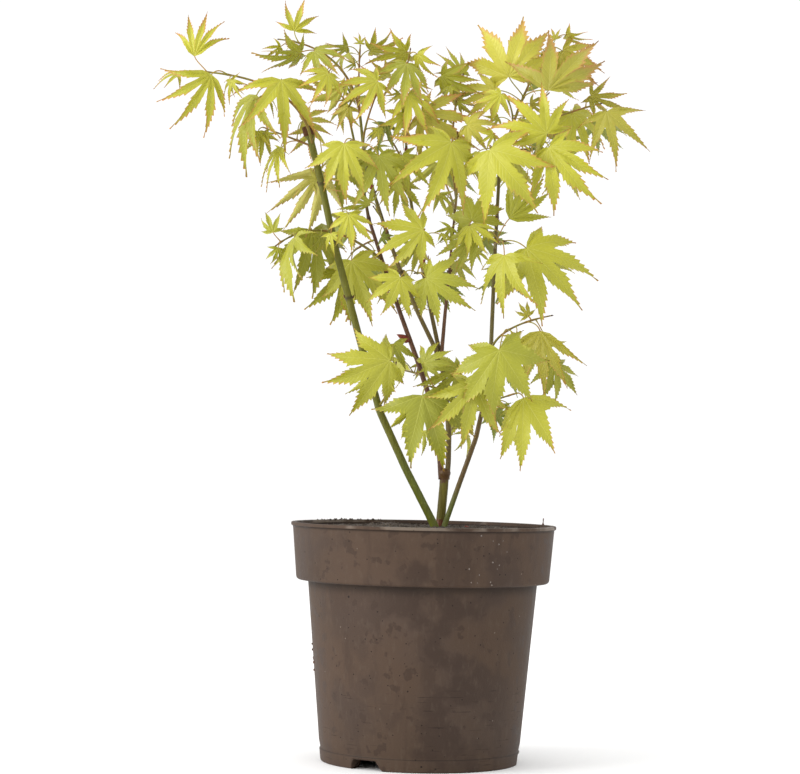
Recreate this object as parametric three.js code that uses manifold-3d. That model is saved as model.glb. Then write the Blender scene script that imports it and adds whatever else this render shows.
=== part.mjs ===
// Potted japanese maple: a young plant with a cut green cane, a short forked trunk, a thin
// outer stem and an open crown of palmate leaves, growing in a round nursery pot.
// Millimetres, +Z up. The origin is the centre of the pot's flat underside, the ground.
// +X is to the right and -Y is towards somebody facing the plant.

import * as THREE from 'three';
import { mergeVertices } from 'three/addons/utils/BufferGeometryUtils.js';
import Module from 'manifold-3d';

// ---------------------------------------------------------------- pot
const POT_HEIGHT = 170;
const LIP_RADIUS = 95.3;
const LIP_THICKNESS = 2.2;
const COLLAR_TOP_RADIUS = 94;
const COLLAR_BOTTOM_RADIUS = 90.8;
const COLLAR_HEIGHT = 41;
const COLLAR_ROUNDING = 2.5;
const BODY_TOP_RADIUS = 82.4;
const BODY_BOTTOM_RADIUS = 70.8;
const SEAM_HEIGHT = 9;
const SEAM_DEPTH = 0.6;
const WALL = 2.6;
const FLOOR_THICKNESS = 3;
const RECESS_INNER_RADIUS = 24;
const RECESS_OUTER_RADIUS = 60;
const RECESS_DEPTH = 6.5;
const NOTCH_WIDTH = 25;
const NOTCH_HEIGHT = 7;
const NOTCH_BEVEL = 5;
const NOTCH_BEARINGS = [-122, -2, 118];
const DRAIN_RADIUS = 5.5;
const DRAIN_RING_RADIUS = 42;
const DRAIN_COUNT = 6;
const DRAIN_SIDES = 8;
const POT_SIDES = 40;

// ---------------------------------------------------------------- soil and clearances
const SOIL_LEVEL = 168;
const SOIL_HOLLOW = 3.2;
const SOIL_FLAT_RADIUS = 26;
const SOIL_RINGS = [72, 50];
const GAP = 0.3;
const CLEARANCE = 0.45;
const FUSING_TOLERANCE = 0.05;

// ---------------------------------------------------------------- limbs, twigs and stalks
const THICK_LIMB = 2.5;
const THICK_LIMB_SIDES = 8;
const THIN_LIMB_SIDES = 6;
const TWIG_SIDES = 3;
const TWIG_RADIUS = 0.9;
const TWIG_RADIUS_GAIN = 0.004;
const TWIG_TIP_SHARE = 0.6;
const LONG_TWIG = 45;
const LONG_TWIG_STEPS = 4;
const SHORT_TWIG_STEPS = 2;
const STALK_RADIUS = 0.6;
const STALK_TAPER = 0.55;
const STALK_SINK = 1;
const STALK_ARCH = 0.1;
const LONG_STALK = 18;

// ---------------------------------------------------------------- leaves
// Lobe sizes are shares of the blade's length, from the middle lobe outwards.
const LOBE_REACH = { 7: [1, 0.9, 0.66, 0.34], 5: [1, 0.84, 0.5] };
const LOBE_TURN = { 7: [0, 33, 69, 112], 5: [0, 39, 88] };
const LOBE_NOTCH = 0.36;
const LOBE_SHOULDER_AT = 0.6;
const LOBE_HALF_WIDTH = 0.125;
const OUTER_LOBE_SHARE = 0.8;
const LOBE_DROOP = 0.12;
const LOBE_CUPPING = 0.035;
const LOBE_TURN_SWING = 4;
const LOBE_REACH_SWING = 0.06;
const BLADE_THICKNESS = 0.8;
const BLADE_NECK = 2.5;
const SEVEN_LOBED_SIZE = 23;
const SHOULDERED_SIZE = 34;
const PITCH = 2;
const PITCH_SWING = 9;
const ROLL_SWING = 20;
const SPREAD = 0.95;
const SPREAD_SWING = 0.1;
const BEHIND = 30;
const SEED_STEP = 17;

// The colour and roughness of each finish.
const FINISHES = {
  pot: [0x61574e, 0.5],
  soil: [0x3a332c, 0.95],
  cane: [0x5f6632, 0.55],
  bark: [0x553a26, 0.7],
  lime: [0x9fae3c, 0.6],
  green: [0x7f9a35, 0.6],
  deep: [0x566f27, 0.65],
  gold: [0xb9b34a, 0.6],
  bronze: [0xa08a45, 0.6],
};

// Limbs. base names what the foot stands on and foot where on it, rise is the height climbed and
// drift the depth gained. lean has one angle from upright for each internode, in degrees to the
// right. girth is the radius at the foot and at the tip, swell how far the joints stand out,
// flare how far the root collar does, and knob the radius and length of a callused cut.
const LIMBS = {
  left_cane: {
    base: 'soil', foot: [7, -4], rise: 284, drift: -16, lean: [-27, -25, -17, -16, -16, -13, -15],
    girth: [3.1, 2.4], swell: 0.5, finish: 'cane', flare: 1.2, knob: [3.6, 5],
  },
  trunk: {
    base: 'soil', foot: [12, 6], rise: 46, drift: 0, lean: [4, 4, 1],
    girth: [3.6, 4.4], swell: 0, finish: 'bark', flare: 1.6,
  },
  right_stem: {
    base: 'soil', foot: [16, -2], rise: 288, drift: 12, lean: [12, 18, 15, 6, 2, 2, 2, 2, 14],
    girth: [1.9, 1.1], swell: 0.3, finish: 'bark', flare: 0.6,
  },
  bough_left: {
    base: 'trunk', foot: [11.3, 6], rise: 247, drift: 16, lean: [-11, -16, -21, -20, -19, -11, -13],
    girth: [1.9, 0.8], swell: 0.35, finish: 'bark',
  },
  bough_middle: {
    base: 'trunk', foot: [17, 6], rise: 79, drift: -5, lean: [0, -5, -7, -10],
    girth: [1.9, 1.9], swell: 0.3, finish: 'bark',
  },
  leader_front: {
    base: 'bough_middle', foot: [7, 0], rise: 170, drift: -10, lean: [-27, -24, -21, -19, -15, -7],
    girth: [1.65, 1], swell: 0.4, finish: 'bark',
  },
  leader_centre: {
    base: 'bough_middle', foot: [9, 4.5], rise: 167, drift: 5.5, lean: [-13, -12, -12, -10, -6, -5],
    girth: [1.6, 0.9], swell: 0.35, finish: 'bark',
  },
  leader_back: {
    base: 'bough_middle', foot: [11.5, 1], rise: 118, drift: 31, lean: [3, 4, 4, 5],
    girth: [1.45, 0.7], swell: 0.3, finish: 'bark',
  },
};

// One leaf: where its stalk leaves the twig as a share of the twig, the reach of the stalk, the
// length of the blade and its bearing in degrees up from the right. A given pitch brings the
// tip forward and a given roll turns the blade about its length; otherwise its seed does.
function leaf(on, stalk, size, bearing, given = {}) {
  return { on, stalk, size, bearing, ...given };
}

// Sprays. limb and at tell where the twig leaves, as a share of the limb's rise; reach is how
// far it goes and bow how far its middle is bent away from the straight line.
const SPRAYS = {
  spray_far_left: {
    limb: 'left_cane', at: 0.95, reach: [-92, -5, 50], bow: [20, -15, 11], tint: 'lime',
    leaves: [
      leaf(0.9, [-10, 3, 9], 34, 80),
      leaf(0.95, [-9, -3, -2], 24, -135, { pitch: 20, roll: 60 }),
      leaf(0.8, [-9, -15, 0], 49, -110, { roll: -30 }),
      leaf(0.45, [0, -16, 11], 53, -85),
      leaf(0.55, [-9, 15, -1], 63, -105, { roll: 35 }),
    ],
  },
  spray_left_small: {
    limb: 'left_cane', at: 0.95, reach: [-35, 11, 14], bow: [1, 2, 0], tint: 'lime',
    leaves: [
      leaf(0.85, [-6, -5, 0], 23, -105),
      leaf(0.3, [-11, -6, -3], 37, -115, { roll: 75 }),
      leaf(0.35, [1, 10, 15], 24, 5),
    ],
  },
  spray_top_left: {
    limb: 'leader_front', at: 1, reach: [-58, -12, 50], bow: [10, -12, 9], tint: 'lime',
    leaves: [
      leaf(0.85, [-4, 0, 6], 22, 80),
      leaf(0.65, [-11, -11, -2], 37, -170, { roll: -70 }),
      leaf(0.6, [-9, -17, 1], 26, -40, { pitch: 25 }),
      leaf(0.4, [-7, -30, -5], 25, -120, { roll: -15 }),
    ],
  },
  spray_top_middle: {
    limb: 'leader_front', at: 1, reach: [-1, 14, 50], bow: [-1, 7, -2], tint: 'green',
    leaves: [
      leaf(0.9, [-6, -9, 5], 21, -170, { roll: -60 }),
      leaf(0.75, [-9, -23, 6], 19, -105, { pitch: 50, roll: 45 }),
      leaf(0.95, [0, -4, 2], 9, 90),
      leaf(0.85, [5, 7, 7], 27, 20, { roll: 60 }),
      leaf(0.55, [25, 9, 7], 24, 175, { roll: -60 }),
      leaf(0.25, [-6, 20, 0], 20, -120, { roll: 20 }),
    ],
  },
  spray_upper_left: {
    limb: 'leader_front', at: 0.86, reach: [11, -33, 38], bow: [-3, -8, -5], tint: 'lime',
    leaves: [leaf(0.9, [3, -7, 10], 33, -150)],
  },
  spray_upper_front: {
    limb: 'leader_front', at: 0.85, reach: [-8, -54, -1], bow: [3, -1, 0], tint: 'lime',
    leaves: [leaf(0.85, [-7, -19, -1], 41, -90), leaf(0.75, [15, -14, -8], 42, -85)],
  },
  spray_behind_cane: {
    limb: 'left_cane', at: 0.91, reach: [7, 33, 8], bow: [-2, 2, -3], tint: 'gold',
    leaves: [
      leaf(0.75, [0, 6, -3], 50, -130),
      leaf(0.75, [12, 16, 9], 38, -100, { roll: 50 }),
      leaf(0.75, [-5, 9, 26], 26, -135),
    ],
  },
  spray_left_middle: {
    limb: 'bough_left', at: 0.59, reach: [-76, -27, 7], bow: [-3, 13, 17], tint: 'green',
    leaves: [
      leaf(0.85, [4, -19, 0], 45, -100, { roll: 70 }),
      leaf(0.65, [0, 6, 3], 49, -80, { roll: -30 }),
      leaf(0.95, [-5, -4, 4], 17, 105),
      leaf(0.95, [-1, -6, -2], 13, -105, { roll: -20 }),
    ],
  },
  spray_left_behind: {
    limb: 'bough_left', at: 0.65, reach: [-17, 16, -8], bow: [1, 3, 2], tint: 'green',
    leaves: [
      leaf(0.75, [-11, 6, -12], 37, -150, { roll: -40 }),
      leaf(0.75, [-6, -22, -9], 56, -65),
    ],
  },
  spray_cane_front: {
    limb: 'left_cane', at: 0.75, reach: [9, -32, 7], bow: [0, 0, 0], tint: 'lime',
    leaves: [leaf(0.8, [6, -16, 2], 27, -80)],
  },
  spray_centre_front: {
    limb: 'leader_front', at: 0.5, reach: [-9, -29, 15], bow: [2, -1, -1], tint: 'deep',
    leaves: [leaf(0.85, [-3, -21, 4], 21, -95, { pitch: 50, roll: -5 })],
  },
  spray_centre_left: {
    limb: 'leader_centre', at: 0.49, reach: [4, -47, -1], bow: [0, 0, 0], tint: 'lime',
    leaves: [leaf(0.85, [1, -19, 0], 38, -165)],
  },
  spray_centre: {
    limb: 'leader_centre', at: 0.36, reach: [-6, -52, -7], bow: [2, 0, -1], tint: 'lime',
    leaves: [
      leaf(0.85, [-11, -28, -4], 32, -110),
      leaf(0.85, [4, -18, -3], 44, -35, { roll: 5 }),
    ],
  },
  spray_centre_right: {
    limb: 'leader_back', at: 0.84, reach: [16, -49, -15], bow: [-3, -4, 4], tint: 'green',
    leaves: [
      leaf(0.9, [4, -9, -8], 38, -125, { roll: 40 }),
      leaf(0.75, [1, -3, 1], 30, 65, { pitch: -20 }),
      leaf(0.85, [-3, -13, 2], 28, -80, { pitch: 50 }),
    ],
  },
  spray_crown_centre: {
    limb: 'leader_centre', at: 1, reach: [3, -32, 47], bow: [-2, -5, -2], tint: 'lime',
    leaves: [
      leaf(0.75, [0, -16, 4], 35, -95, { pitch: 25 }),
      leaf(0.6, [1, -24, -11], 33, -60, { roll: -25 }),
      leaf(0.95, [4, -3, 2], 22, -55, { roll: 50 }),
      leaf(0.9, [1, 7, 6], 32, -170, { roll: -40 }),
    ],
  },
  spray_crown_front: {
    limb: 'leader_centre', at: 0.9, reach: [3, -45, 14], bow: [-1, -2, -5], tint: 'gold',
    leaves: [
      leaf(0.75, [7, 2, 13], 46, -30, { roll: 10 }),
      leaf(0.95, [-1, -3, 2], 21, -165, { roll: -5 }),
    ],
  },
  spray_crown_right: {
    limb: 'leader_back', at: 0.97, reach: [2, -41, 84], bow: [-5, -3, 3], tint: 'green',
    leaves: [
      leaf(0.85, [-15, -10, 11], 31, -25, { roll: 35 }),
      leaf(0.8, [-5, 6, 3], 22, -20, { roll: 45 }),
      leaf(0.95, [1, 2, 3], 25, 115, { roll: 30 }),
    ],
  },
  spray_upper_centre: {
    limb: 'leader_back', at: 0.9, reach: [-1, -75, 46], bow: [1, 0, 0], tint: 'lime',
    leaves: [leaf(0.9, [-4, -21, -1], 55, -110), leaf(0.95, [4, -2, 9], 29, -15)],
  },
  spray_inner: {
    limb: 'leader_centre', at: 0.73, reach: [-19, -19, 36], bow: [2, 1, 2], tint: 'green',
    leaves: [
      leaf(0.85, [-1, -15, 10], 22, -110, { roll: 10 }),
      leaf(0.5, [1, -22, -1], 32, -75),
      leaf(0.2, [-7, -15, -8], 27, -70),
    ],
  },
  spray_right_centre: {
    limb: 'right_stem', at: 0.91, reach: [-10, -65, 5], bow: [1, 0, 1], tint: 'lime',
    leaves: [leaf(0.9, [-4, -20, -1], 54, -50)],
  },
  spray_right_small: {
    limb: 'right_stem', at: 0.97, reach: [-3, -38, 27], bow: [4, -1, 0], tint: 'lime',
    leaves: [leaf(0.9, [-4, -9, 6], 21, -140)],
  },
  spray_top_right: {
    limb: 'right_stem', at: 1, reach: [29, -2, 67], bow: [-2, -7, 0], tint: 'gold',
    leaves: [
      leaf(0.35, [-12, -13, 10], 44, 75),
      leaf(0.35, [14, -37, -2], 51, 45),
      leaf(0.9, [9, -2, 2], 44, -40),
      leaf(0.9, [6, -2, 3], 10, 105),
      leaf(0.9, [11, 6, 11], 20, -10, { roll: 65 }),
      leaf(0.2, [7, 15, 8], 16, -5),
    ],
  },
  spray_far_right: {
    limb: 'right_stem', at: 0.98, reach: [64, -24, 23], bow: [-1, 1, 2], tint: 'bronze',
    leaves: [
      leaf(0.85, [1, -2, 9], 34, -10, { roll: 45 }),
      leaf(0.9, [10, -15, -3], 44, -70),
      leaf(0.7, [0, 10, 3], 41, -60, { roll: -30 }),
    ],
  },
  spray_right_front: {
    limb: 'right_stem', at: 0.96, reach: [22, -60, -2], bow: [-2, -1, 1], tint: 'lime',
    leaves: [leaf(0.85, [7, -30, -7], 51, -50, { roll: 15 }), leaf(0.9, [7, -25, -1], 43, 130)],
  },
  spray_right_middle: {
    limb: 'right_stem', at: 0.7, reach: [5, -36, 2], bow: [-3, 0, 1], tint: 'lime',
    leaves: [
      leaf(0.55, [7, -7, 15], 36, 60),
      leaf(0.8, [16, -22, -4], 56, -45),
      leaf(0.8, [2, -40, -10], 43, -95),
    ],
  },
  spray_right_lower: {
    limb: 'right_stem', at: 0.44, reach: [41, -31, 25], bow: [-9, -10, 2], tint: 'gold',
    leaves: [
      leaf(0.75, [9, -9, -4], 52, -75),
      leaf(0.8, [0, 0, 1], 19, 130),
      leaf(0.85, [15, 10, -29], 29, -70),
      leaf(0.5, [-8, -54, -14], 50, -95),
    ],
  },
  spray_low_right: {
    limb: 'right_stem', at: 0.28, reach: [23, -49, 15], bow: [-8, -5, 0], tint: 'lime',
    leaves: [
      leaf(0.7, [-16, -27, 12], 45, -100, { roll: -10 }),
      leaf(0.9, [10, -11, 1], 54, -80, { roll: 20 }),
    ],
  },
  spray_low_centre: {
    limb: 'bough_middle', at: 0.64, reach: [-13, -41, 3], bow: [2, -1, 0], tint: 'green',
    leaves: [
      leaf(0.8, [-9, -25, -4], 57, -75),
      leaf(0.8, [-9, -9, 15], 23, 35),
      leaf(0.4, [14, -11, 14], 28, -155),
    ],
  },
  spray_low_left: {
    limb: 'left_cane', at: 0.3, reach: [12, -31, 30], bow: [2, -1, -2], tint: 'lime',
    leaves: [leaf(0.85, [-1, -16, 8], 47, -140), leaf(0.8, [-2, 4, 24], 21, -65)],
  },
  back_top_left: {
    limb: 'bough_left', at: 1, reach: [-11, 34, 27], bow: [2, -1, 2], tint: 'green',
    leaves: [leaf(0.9, [3, 8, -1], 28, 155), leaf(0.6, [5, 5, 1], 20, 45)],
  },
  back_upper_left: {
    limb: 'bough_left', at: 0.85, reach: [-12, 44, 17], bow: [3, 1, 0], tint: 'green',
    leaves: [leaf(0.85, [-5, 16, 8], 30, -100), leaf(0.75, [3, 5, 2], 31, -40)],
  },
  back_left: {
    limb: 'bough_left', at: 0.66, reach: [-18, 51, 15], bow: [4, 2, -1], tint: 'green',
    leaves: [leaf(0.85, [-7, 17, 8], 27, -110), leaf(0.7, [-1, 8, 6], 26, -75, { roll: 220 })],
  },
  back_left_low: {
    limb: 'bough_left', at: 0.46, reach: [-10, 49, 14], bow: [2, 1, 0], tint: 'green',
    leaves: [leaf(0.85, [0, 16, 8], 26, -60), leaf(0.9, [-8, 2, 4], 28, -120)],
  },
  back_left_lower: {
    limb: 'bough_left', at: 0.25, reach: [-22, 50, 7], bow: [4, 2, 0], tint: 'green',
    leaves: [leaf(0.9, [-11, 12, 1], 30, -145)],
  },
  back_low_left: {
    limb: 'bough_left', at: 0.09, reach: [-15, 53, 15], bow: [4, 2, -1], tint: 'green',
    leaves: [leaf(0.85, [-7, 20, 2], 29, -105), leaf(0.8, [1, 15, 7], 32, -65)],
  },
  back_low: {
    limb: 'bough_middle', at: 0.23, reach: [16, 55, 19], bow: [-5, 3, -3], tint: 'green',
    leaves: [leaf(0.85, [1, 21, 15], 32, -110), leaf(0.85, [22, 5, 4], 36, -45)],
  },
  back_centre: {
    limb: 'leader_centre', at: 0.29, reach: [2, 58, 25], bow: [1, 1, -2], tint: 'green',
    leaves: [leaf(0.85, [-7, 20, 15], 27, -130), leaf(0.85, [4, 14, -7], 29, -65)],
  },
  back_right_centre: {
    limb: 'leader_back', at: 0.56, reach: [16, 54, 20], bow: [-2, 1, -1], tint: 'green',
    leaves: [leaf(0.9, [2, 13, 4], 29, -105), leaf(0.85, [10, 1, 6], 23, -10)],
  },
  back_upper_centre: {
    limb: 'leader_back', at: 0.87, reach: [-10, 56, 35], bow: [2, 1, -1], tint: 'green',
    leaves: [leaf(0.9, [-4, 15, 16], 35, -100), leaf(0.9, [5, 1, 10], 28, -45)],
  },
  back_right_upper: {
    limb: 'right_stem', at: 0.88, reach: [13, 53, 20], bow: [-1, 0, 0], tint: 'green',
    leaves: [leaf(0.9, [-1, 14, 3], 32, -80)],
  },
  back_right: {
    limb: 'right_stem', at: 0.94, reach: [42, 59, 9], bow: [-4, 3, 3], tint: 'deep',
    leaves: [
      leaf(0.9, [8, 17, 3], 38, -70),
      leaf(0.8, [6, 2, 6], 28, 50),
      leaf(0.9, [29, 1, 24], 31, -40),
    ],
  },
  back_top_right: {
    limb: 'right_stem', at: 0.97, reach: [32, 58, 44], bow: [-5, 5, -2], tint: 'green',
    leaves: [leaf(0.9, [11, 12, 13], 31, 40), leaf(0.95, [-2, 0, 6], 25, 120)],
  },
  back_right_middle: {
    limb: 'right_stem', at: 0.65, reach: [24, 56, 11], bow: [-5, 2, 0], tint: 'green',
    leaves: [leaf(0.85, [13, 20, 4], 35, -40), leaf(0.8, [-2, 8, -3], 30, -105)],
  },
  back_right_low: {
    limb: 'right_stem', at: 0.42, reach: [22, 57, 11], bow: [-4, 2, -1], tint: 'green',
    leaves: [leaf(0.85, [21, 11, 10], 35, -75), leaf(0.85, [-5, 21, -3], 34, -100)],
  },
};

// ---------------------------------------------------------------- small helpers
const rad = THREE.MathUtils.degToRad;
const lerp = THREE.MathUtils.lerp;

// A repeatable number from 0 to 1 for a seed.
function chance(seed) {
  const turns = Math.sin(seed * 12.9898 + 4.1414) * 43758.5453;
  return turns - Math.floor(turns);
}

// A repeatable number from -1 to 1 for a seed.
function swing(seed) {
  return 2 * chance(seed) - 1;
}

const wasm = await Module();
wasm.setup();

// A manifold solid from rows of points and triangles.
function solid(points, faces) {
  const vertProperties = new Float32Array(points.flat());
  const triVerts = new Uint32Array(faces.flat());
  return new wasm.Manifold(new wasm.Mesh({ numProp: 3, vertProperties, triVerts }));
}

// A manifold solid from a closed three.js geometry.
function fromGeometry(geometry) {
  const bare = geometry.clone();
  bare.deleteAttribute('normal');
  bare.deleteAttribute('uv');
  const merged = mergeVertices(bare, 1e-4);
  return new wasm.Manifold(new wasm.Mesh({
    numProp: 3,
    vertProperties: new Float32Array(merged.attributes.position.array),
    triVerts: new Uint32Array(merged.index.array),
  }));
}

// The biggest piece of a fused solid. Loose scrap is dropped and a sealed hollow is filled.
function biggest(fused) {
  const pieces = fused.simplify(FUSING_TOLERANCE).decompose();
  pieces.sort((a, b) => b.volume() - a.volume());
  return pieces[0];
}

function toMesh(name, body, finish) {
  const flat = body.getMesh();
  const geometry = new THREE.BufferGeometry();
  geometry.setAttribute('position', new THREE.BufferAttribute(flat.vertProperties, 3));
  geometry.setIndex(new THREE.BufferAttribute(flat.triVerts, 1));
  geometry.computeVertexNormals();
  const [color, roughness] = FINISHES[finish];
  const material = new THREE.MeshStandardMaterial({ color, roughness, metalness: 0 });
  const mesh = new THREE.Mesh(geometry, material);
  mesh.name = name;
  return mesh;
}

// Faces of stacked rings of points closed by a centre point at each end.
function tubeFaces(rings, sides) {
  const faces = [];
  const bottom = rings * sides;
  const top = bottom + 1;
  for (let i = 0; i < sides; i += 1) {
    const j = (i + 1) % sides;
    faces.push([bottom, j, i]);
    faces.push([top, (rings - 1) * sides + i, (rings - 1) * sides + j]);
    for (let k = 0; k + 1 < rings; k += 1) {
      const a = k * sides;
      const b = a + sides;
      faces.push([a + i, a + j, b + j]);
      faces.push([a + i, b + j, b + i]);
    }
  }
  return faces;
}

// Rings across a path with the given radii, closed flat at both ends. A level tube is cut
// horizontally at its ends.
function tube(path, radii, sides, level) {
  const points = [];
  const last = path.length - 1;
  path.forEach((centre, i) => {
    const along = path[Math.min(i + 1, last)].clone().sub(path[Math.max(i - 1, 0)]).normalize();
    if (level && (i === 0 || i === last)) {
      along.set(0, 0, 1);
    }
    const across = new THREE.Vector3(0, -1, 0).addScaledVector(along, along.y).normalize();
    const over = along.clone().cross(across);
    for (let k = 0; k < sides; k += 1) {
      const turn = (2 * Math.PI * k) / sides;
      points.push(centre.clone()
        .addScaledVector(across, radii[i] * Math.cos(turn))
        .addScaledVector(over, radii[i] * Math.sin(turn)).toArray());
    }
  });
  points.push(path[0].toArray(), path[last].toArray());
  return solid(points, tubeFaces(path.length, sides));
}

// ---------------------------------------------------------------- pot and soil
const COLLAR_BOTTOM = POT_HEIGHT - COLLAR_HEIGHT;
const FLOOR_TOP = RECESS_DEPTH + FLOOR_THICKNESS;

function bodyRadius(height) {
  return lerp(BODY_BOTTOM_RADIUS, BODY_TOP_RADIUS, height / COLLAR_BOTTOM);
}

// Outline of the pot from the middle of its underside, out and up to the lip, and back inside.
function potProfile() {
  const outside = [
    [0, 0],
    [RECESS_INNER_RADIUS, 0],
    [RECESS_INNER_RADIUS + 1, RECESS_DEPTH],
    [RECESS_OUTER_RADIUS - 1, RECESS_DEPTH],
    [RECESS_OUTER_RADIUS, 0],
    [bodyRadius(0) - 1, 0],
    [bodyRadius(0), 1],
    [bodyRadius(SEAM_HEIGHT), SEAM_HEIGHT],
    [bodyRadius(SEAM_HEIGHT) - SEAM_DEPTH, SEAM_HEIGHT + 0.8],
    [BODY_TOP_RADIUS, COLLAR_BOTTOM],
    [COLLAR_BOTTOM_RADIUS - COLLAR_ROUNDING, COLLAR_BOTTOM],
    [COLLAR_BOTTOM_RADIUS, COLLAR_BOTTOM + COLLAR_ROUNDING],
    [COLLAR_TOP_RADIUS, POT_HEIGHT - LIP_THICKNESS],
    [LIP_RADIUS, POT_HEIGHT - LIP_THICKNESS + 0.3],
    [LIP_RADIUS, POT_HEIGHT - 0.5],
    [LIP_RADIUS - 0.5, POT_HEIGHT],
  ];
  const inside = [
    [COLLAR_TOP_RADIUS - WALL, POT_HEIGHT],
    [COLLAR_BOTTOM_RADIUS - WALL, COLLAR_BOTTOM + WALL],
    [BODY_TOP_RADIUS - WALL, COLLAR_BOTTOM + WALL - 0.4],
    [bodyRadius(FLOOR_TOP) - WALL, FLOOR_TOP],
    [0, FLOOR_TOP],
  ];
  return [...outside, ...inside].map(([radius, height]) => new THREE.Vector2(radius, height));
}

// A drainage notch through the foot ring: upright on one side and bevelled on the other.
function notchCutter(bearing) {
  const half = NOTCH_WIDTH / 2;
  const outline = new THREE.Shape();
  outline.moveTo(-half, -1);
  outline.lineTo(half, -1);
  outline.lineTo(half - NOTCH_BEVEL, NOTCH_HEIGHT);
  outline.lineTo(-half, NOTCH_HEIGHT);
  outline.closePath();
  const depth = BODY_BOTTOM_RADIUS - RECESS_OUTER_RADIUS + 12;
  const geometry = new THREE.ExtrudeGeometry(outline, { depth, bevelEnabled: false });
  geometry.rotateX(Math.PI / 2);
  geometry.rotateZ(Math.PI / 2);
  geometry.translate(RECESS_OUTER_RADIUS - 6, 0, 0);
  geometry.rotateZ(rad(bearing));
  return fromGeometry(geometry);
}

function drainCutter(index) {
  const angle = rad(30 + (index * 360) / DRAIN_COUNT);
  const geometry = new THREE.CylinderGeometry(DRAIN_RADIUS, DRAIN_RADIUS, 30, DRAIN_SIDES);
  geometry.rotateX(Math.PI / 2);
  geometry.translate(DRAIN_RING_RADIUS * Math.cos(angle), DRAIN_RING_RADIUS * Math.sin(angle), 5);
  return fromGeometry(geometry);
}

function makePot() {
  const shell = new THREE.LatheGeometry(potProfile(), POT_SIDES);
  shell.rotateX(Math.PI / 2);
  let pot = fromGeometry(shell);
  for (const bearing of NOTCH_BEARINGS) {
    pot = pot.subtract(notchCutter(bearing));
  }
  for (let i = 0; i < DRAIN_COUNT; i += 1) {
    pot = pot.subtract(drainCutter(i));
  }
  return biggest(pot);
}

// The height of the soil: flat round the stems, uneven and a little lower near the wall.
function soilHeight(radius, turn) {
  const out = Math.max(0, radius - SOIL_FLAT_RADIUS) / (COLLAR_TOP_RADIUS - SOIL_FLAT_RADIUS);
  const lumps = 0.9 * Math.sin(3 * turn + 1) + 0.7 * Math.sin(7 * turn + radius / 9);
  return SOIL_LEVEL - SOIL_HOLLOW * out * out + lumps * Math.min(1, 3 * out) * (1 - out);
}

function makeSoil() {
  const side = WALL + GAP + 0.25;
  const low = FLOOR_TOP + GAP;
  const rim = COLLAR_TOP_RADIUS - side - 0.2;
  const walls = [
    [bodyRadius(low) - side, low],
    [BODY_TOP_RADIUS - side, COLLAR_BOTTOM + WALL + 0.1],
    [COLLAR_BOTTOM_RADIUS - side, COLLAR_BOTTOM + WALL + 0.8],
  ];
  const tops = [rim, ...SOIL_RINGS, SOIL_FLAT_RADIUS];
  const points = [];
  for (const [radius, height] of [...walls, ...tops.map((top) => [top, null])]) {
    for (let i = 0; i < POT_SIDES; i += 1) {
      const turn = (2 * Math.PI * i) / POT_SIDES;
      const z = height ?? soilHeight(radius, turn);
      points.push([radius * Math.cos(turn), radius * Math.sin(turn), z]);
    }
  }
  points.push([0, 0, low], [0, 0, SOIL_LEVEL]);
  return solid(points, tubeFaces(walls.length + tops.length, POT_SIDES));
}

// ---------------------------------------------------------------- limbs
// The height at which a limb's foot stands: on the soil or on the top of the limb below it.
function footHeight(limb) {
  if (limb.base === 'soil') {
    return SOIL_LEVEL + GAP;
  }
  const below = LIMBS[limb.base];
  return footHeight(below) + below.rise + GAP;
}

// The centre of a limb at a share of its rise.
function limbPoint(limb, share) {
  const step = limb.rise / limb.lean.length;
  let x = limb.foot[0];
  let left = share * limb.lean.length;
  for (const lean of limb.lean) {
    x += Math.min(Math.max(left, 0), 1) * step * Math.tan(rad(lean));
    left -= 1;
  }
  const y = limb.foot[1] + limb.drift * share;
  return new THREE.Vector3(x, y, footHeight(limb) + limb.rise * share);
}

function limbRadius(limb, share) {
  return lerp(limb.girth[0], limb.girth[1], share);
}

// A tapering limb with swollen joints, flared at the soil and callused where it was cut.
function makeLimb(limb) {
  const stations = [];
  const joints = limb.lean.length;
  const thick = limb.girth[0] > THICK_LIMB;
  if (limb.flare) {
    stations.push([0, limb.girth[0] + limb.flare]);
    stations.push([0.12 / joints, limb.girth[0] + 0.35 * limb.flare]);
    stations.push([0.4 / joints, limb.girth[0]]);
  } else {
    stations.push([0, limb.girth[0]]);
  }
  for (let i = 1; i < joints; i += 1) {
    const middle = (i - 0.5) / joints;
    if (thick && middle > stations[stations.length - 1][0] + 0.2 / joints) {
      stations.push([middle, limbRadius(limb, middle)]);
    }
    stations.push([i / joints, limbRadius(limb, i / joints) + limb.swell]);
  }
  if (limb.knob) {
    const [radius, length] = limb.knob;
    stations.push([1 - length / limb.rise, limb.girth[1]]);
    stations.push([1 - (0.65 * length) / limb.rise, radius]);
    stations.push([1, radius]);
  } else {
    stations.push([1, limb.girth[1]]);
  }
  const path = stations.map(([share]) => limbPoint(limb, share));
  const radii = stations.map(([, radius]) => radius);
  return tube(path, radii, thick ? THICK_LIMB_SIDES : THIN_LIMB_SIDES, true);
}

// ---------------------------------------------------------------- leaves
// A leaf with what its seed settles: how it hangs, how wide its lobes spread and how many
// they are, with fewer on a small leaf and on one at the back, which faces away.
function grown(leafRow, seed, behind) {
  return {
    pitch: PITCH + PITCH_SWING * swing(seed + 0.3),
    roll: (behind ? 180 : 0) + ROLL_SWING * swing(seed + 0.6),
    spread: SPREAD + SPREAD_SWING * swing(seed + 0.9),
    lobes: behind || leafRow.size < SEVEN_LOBED_SIZE ? 5 : 7,
    seed,
    ...leafRow,
  };
}

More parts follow.
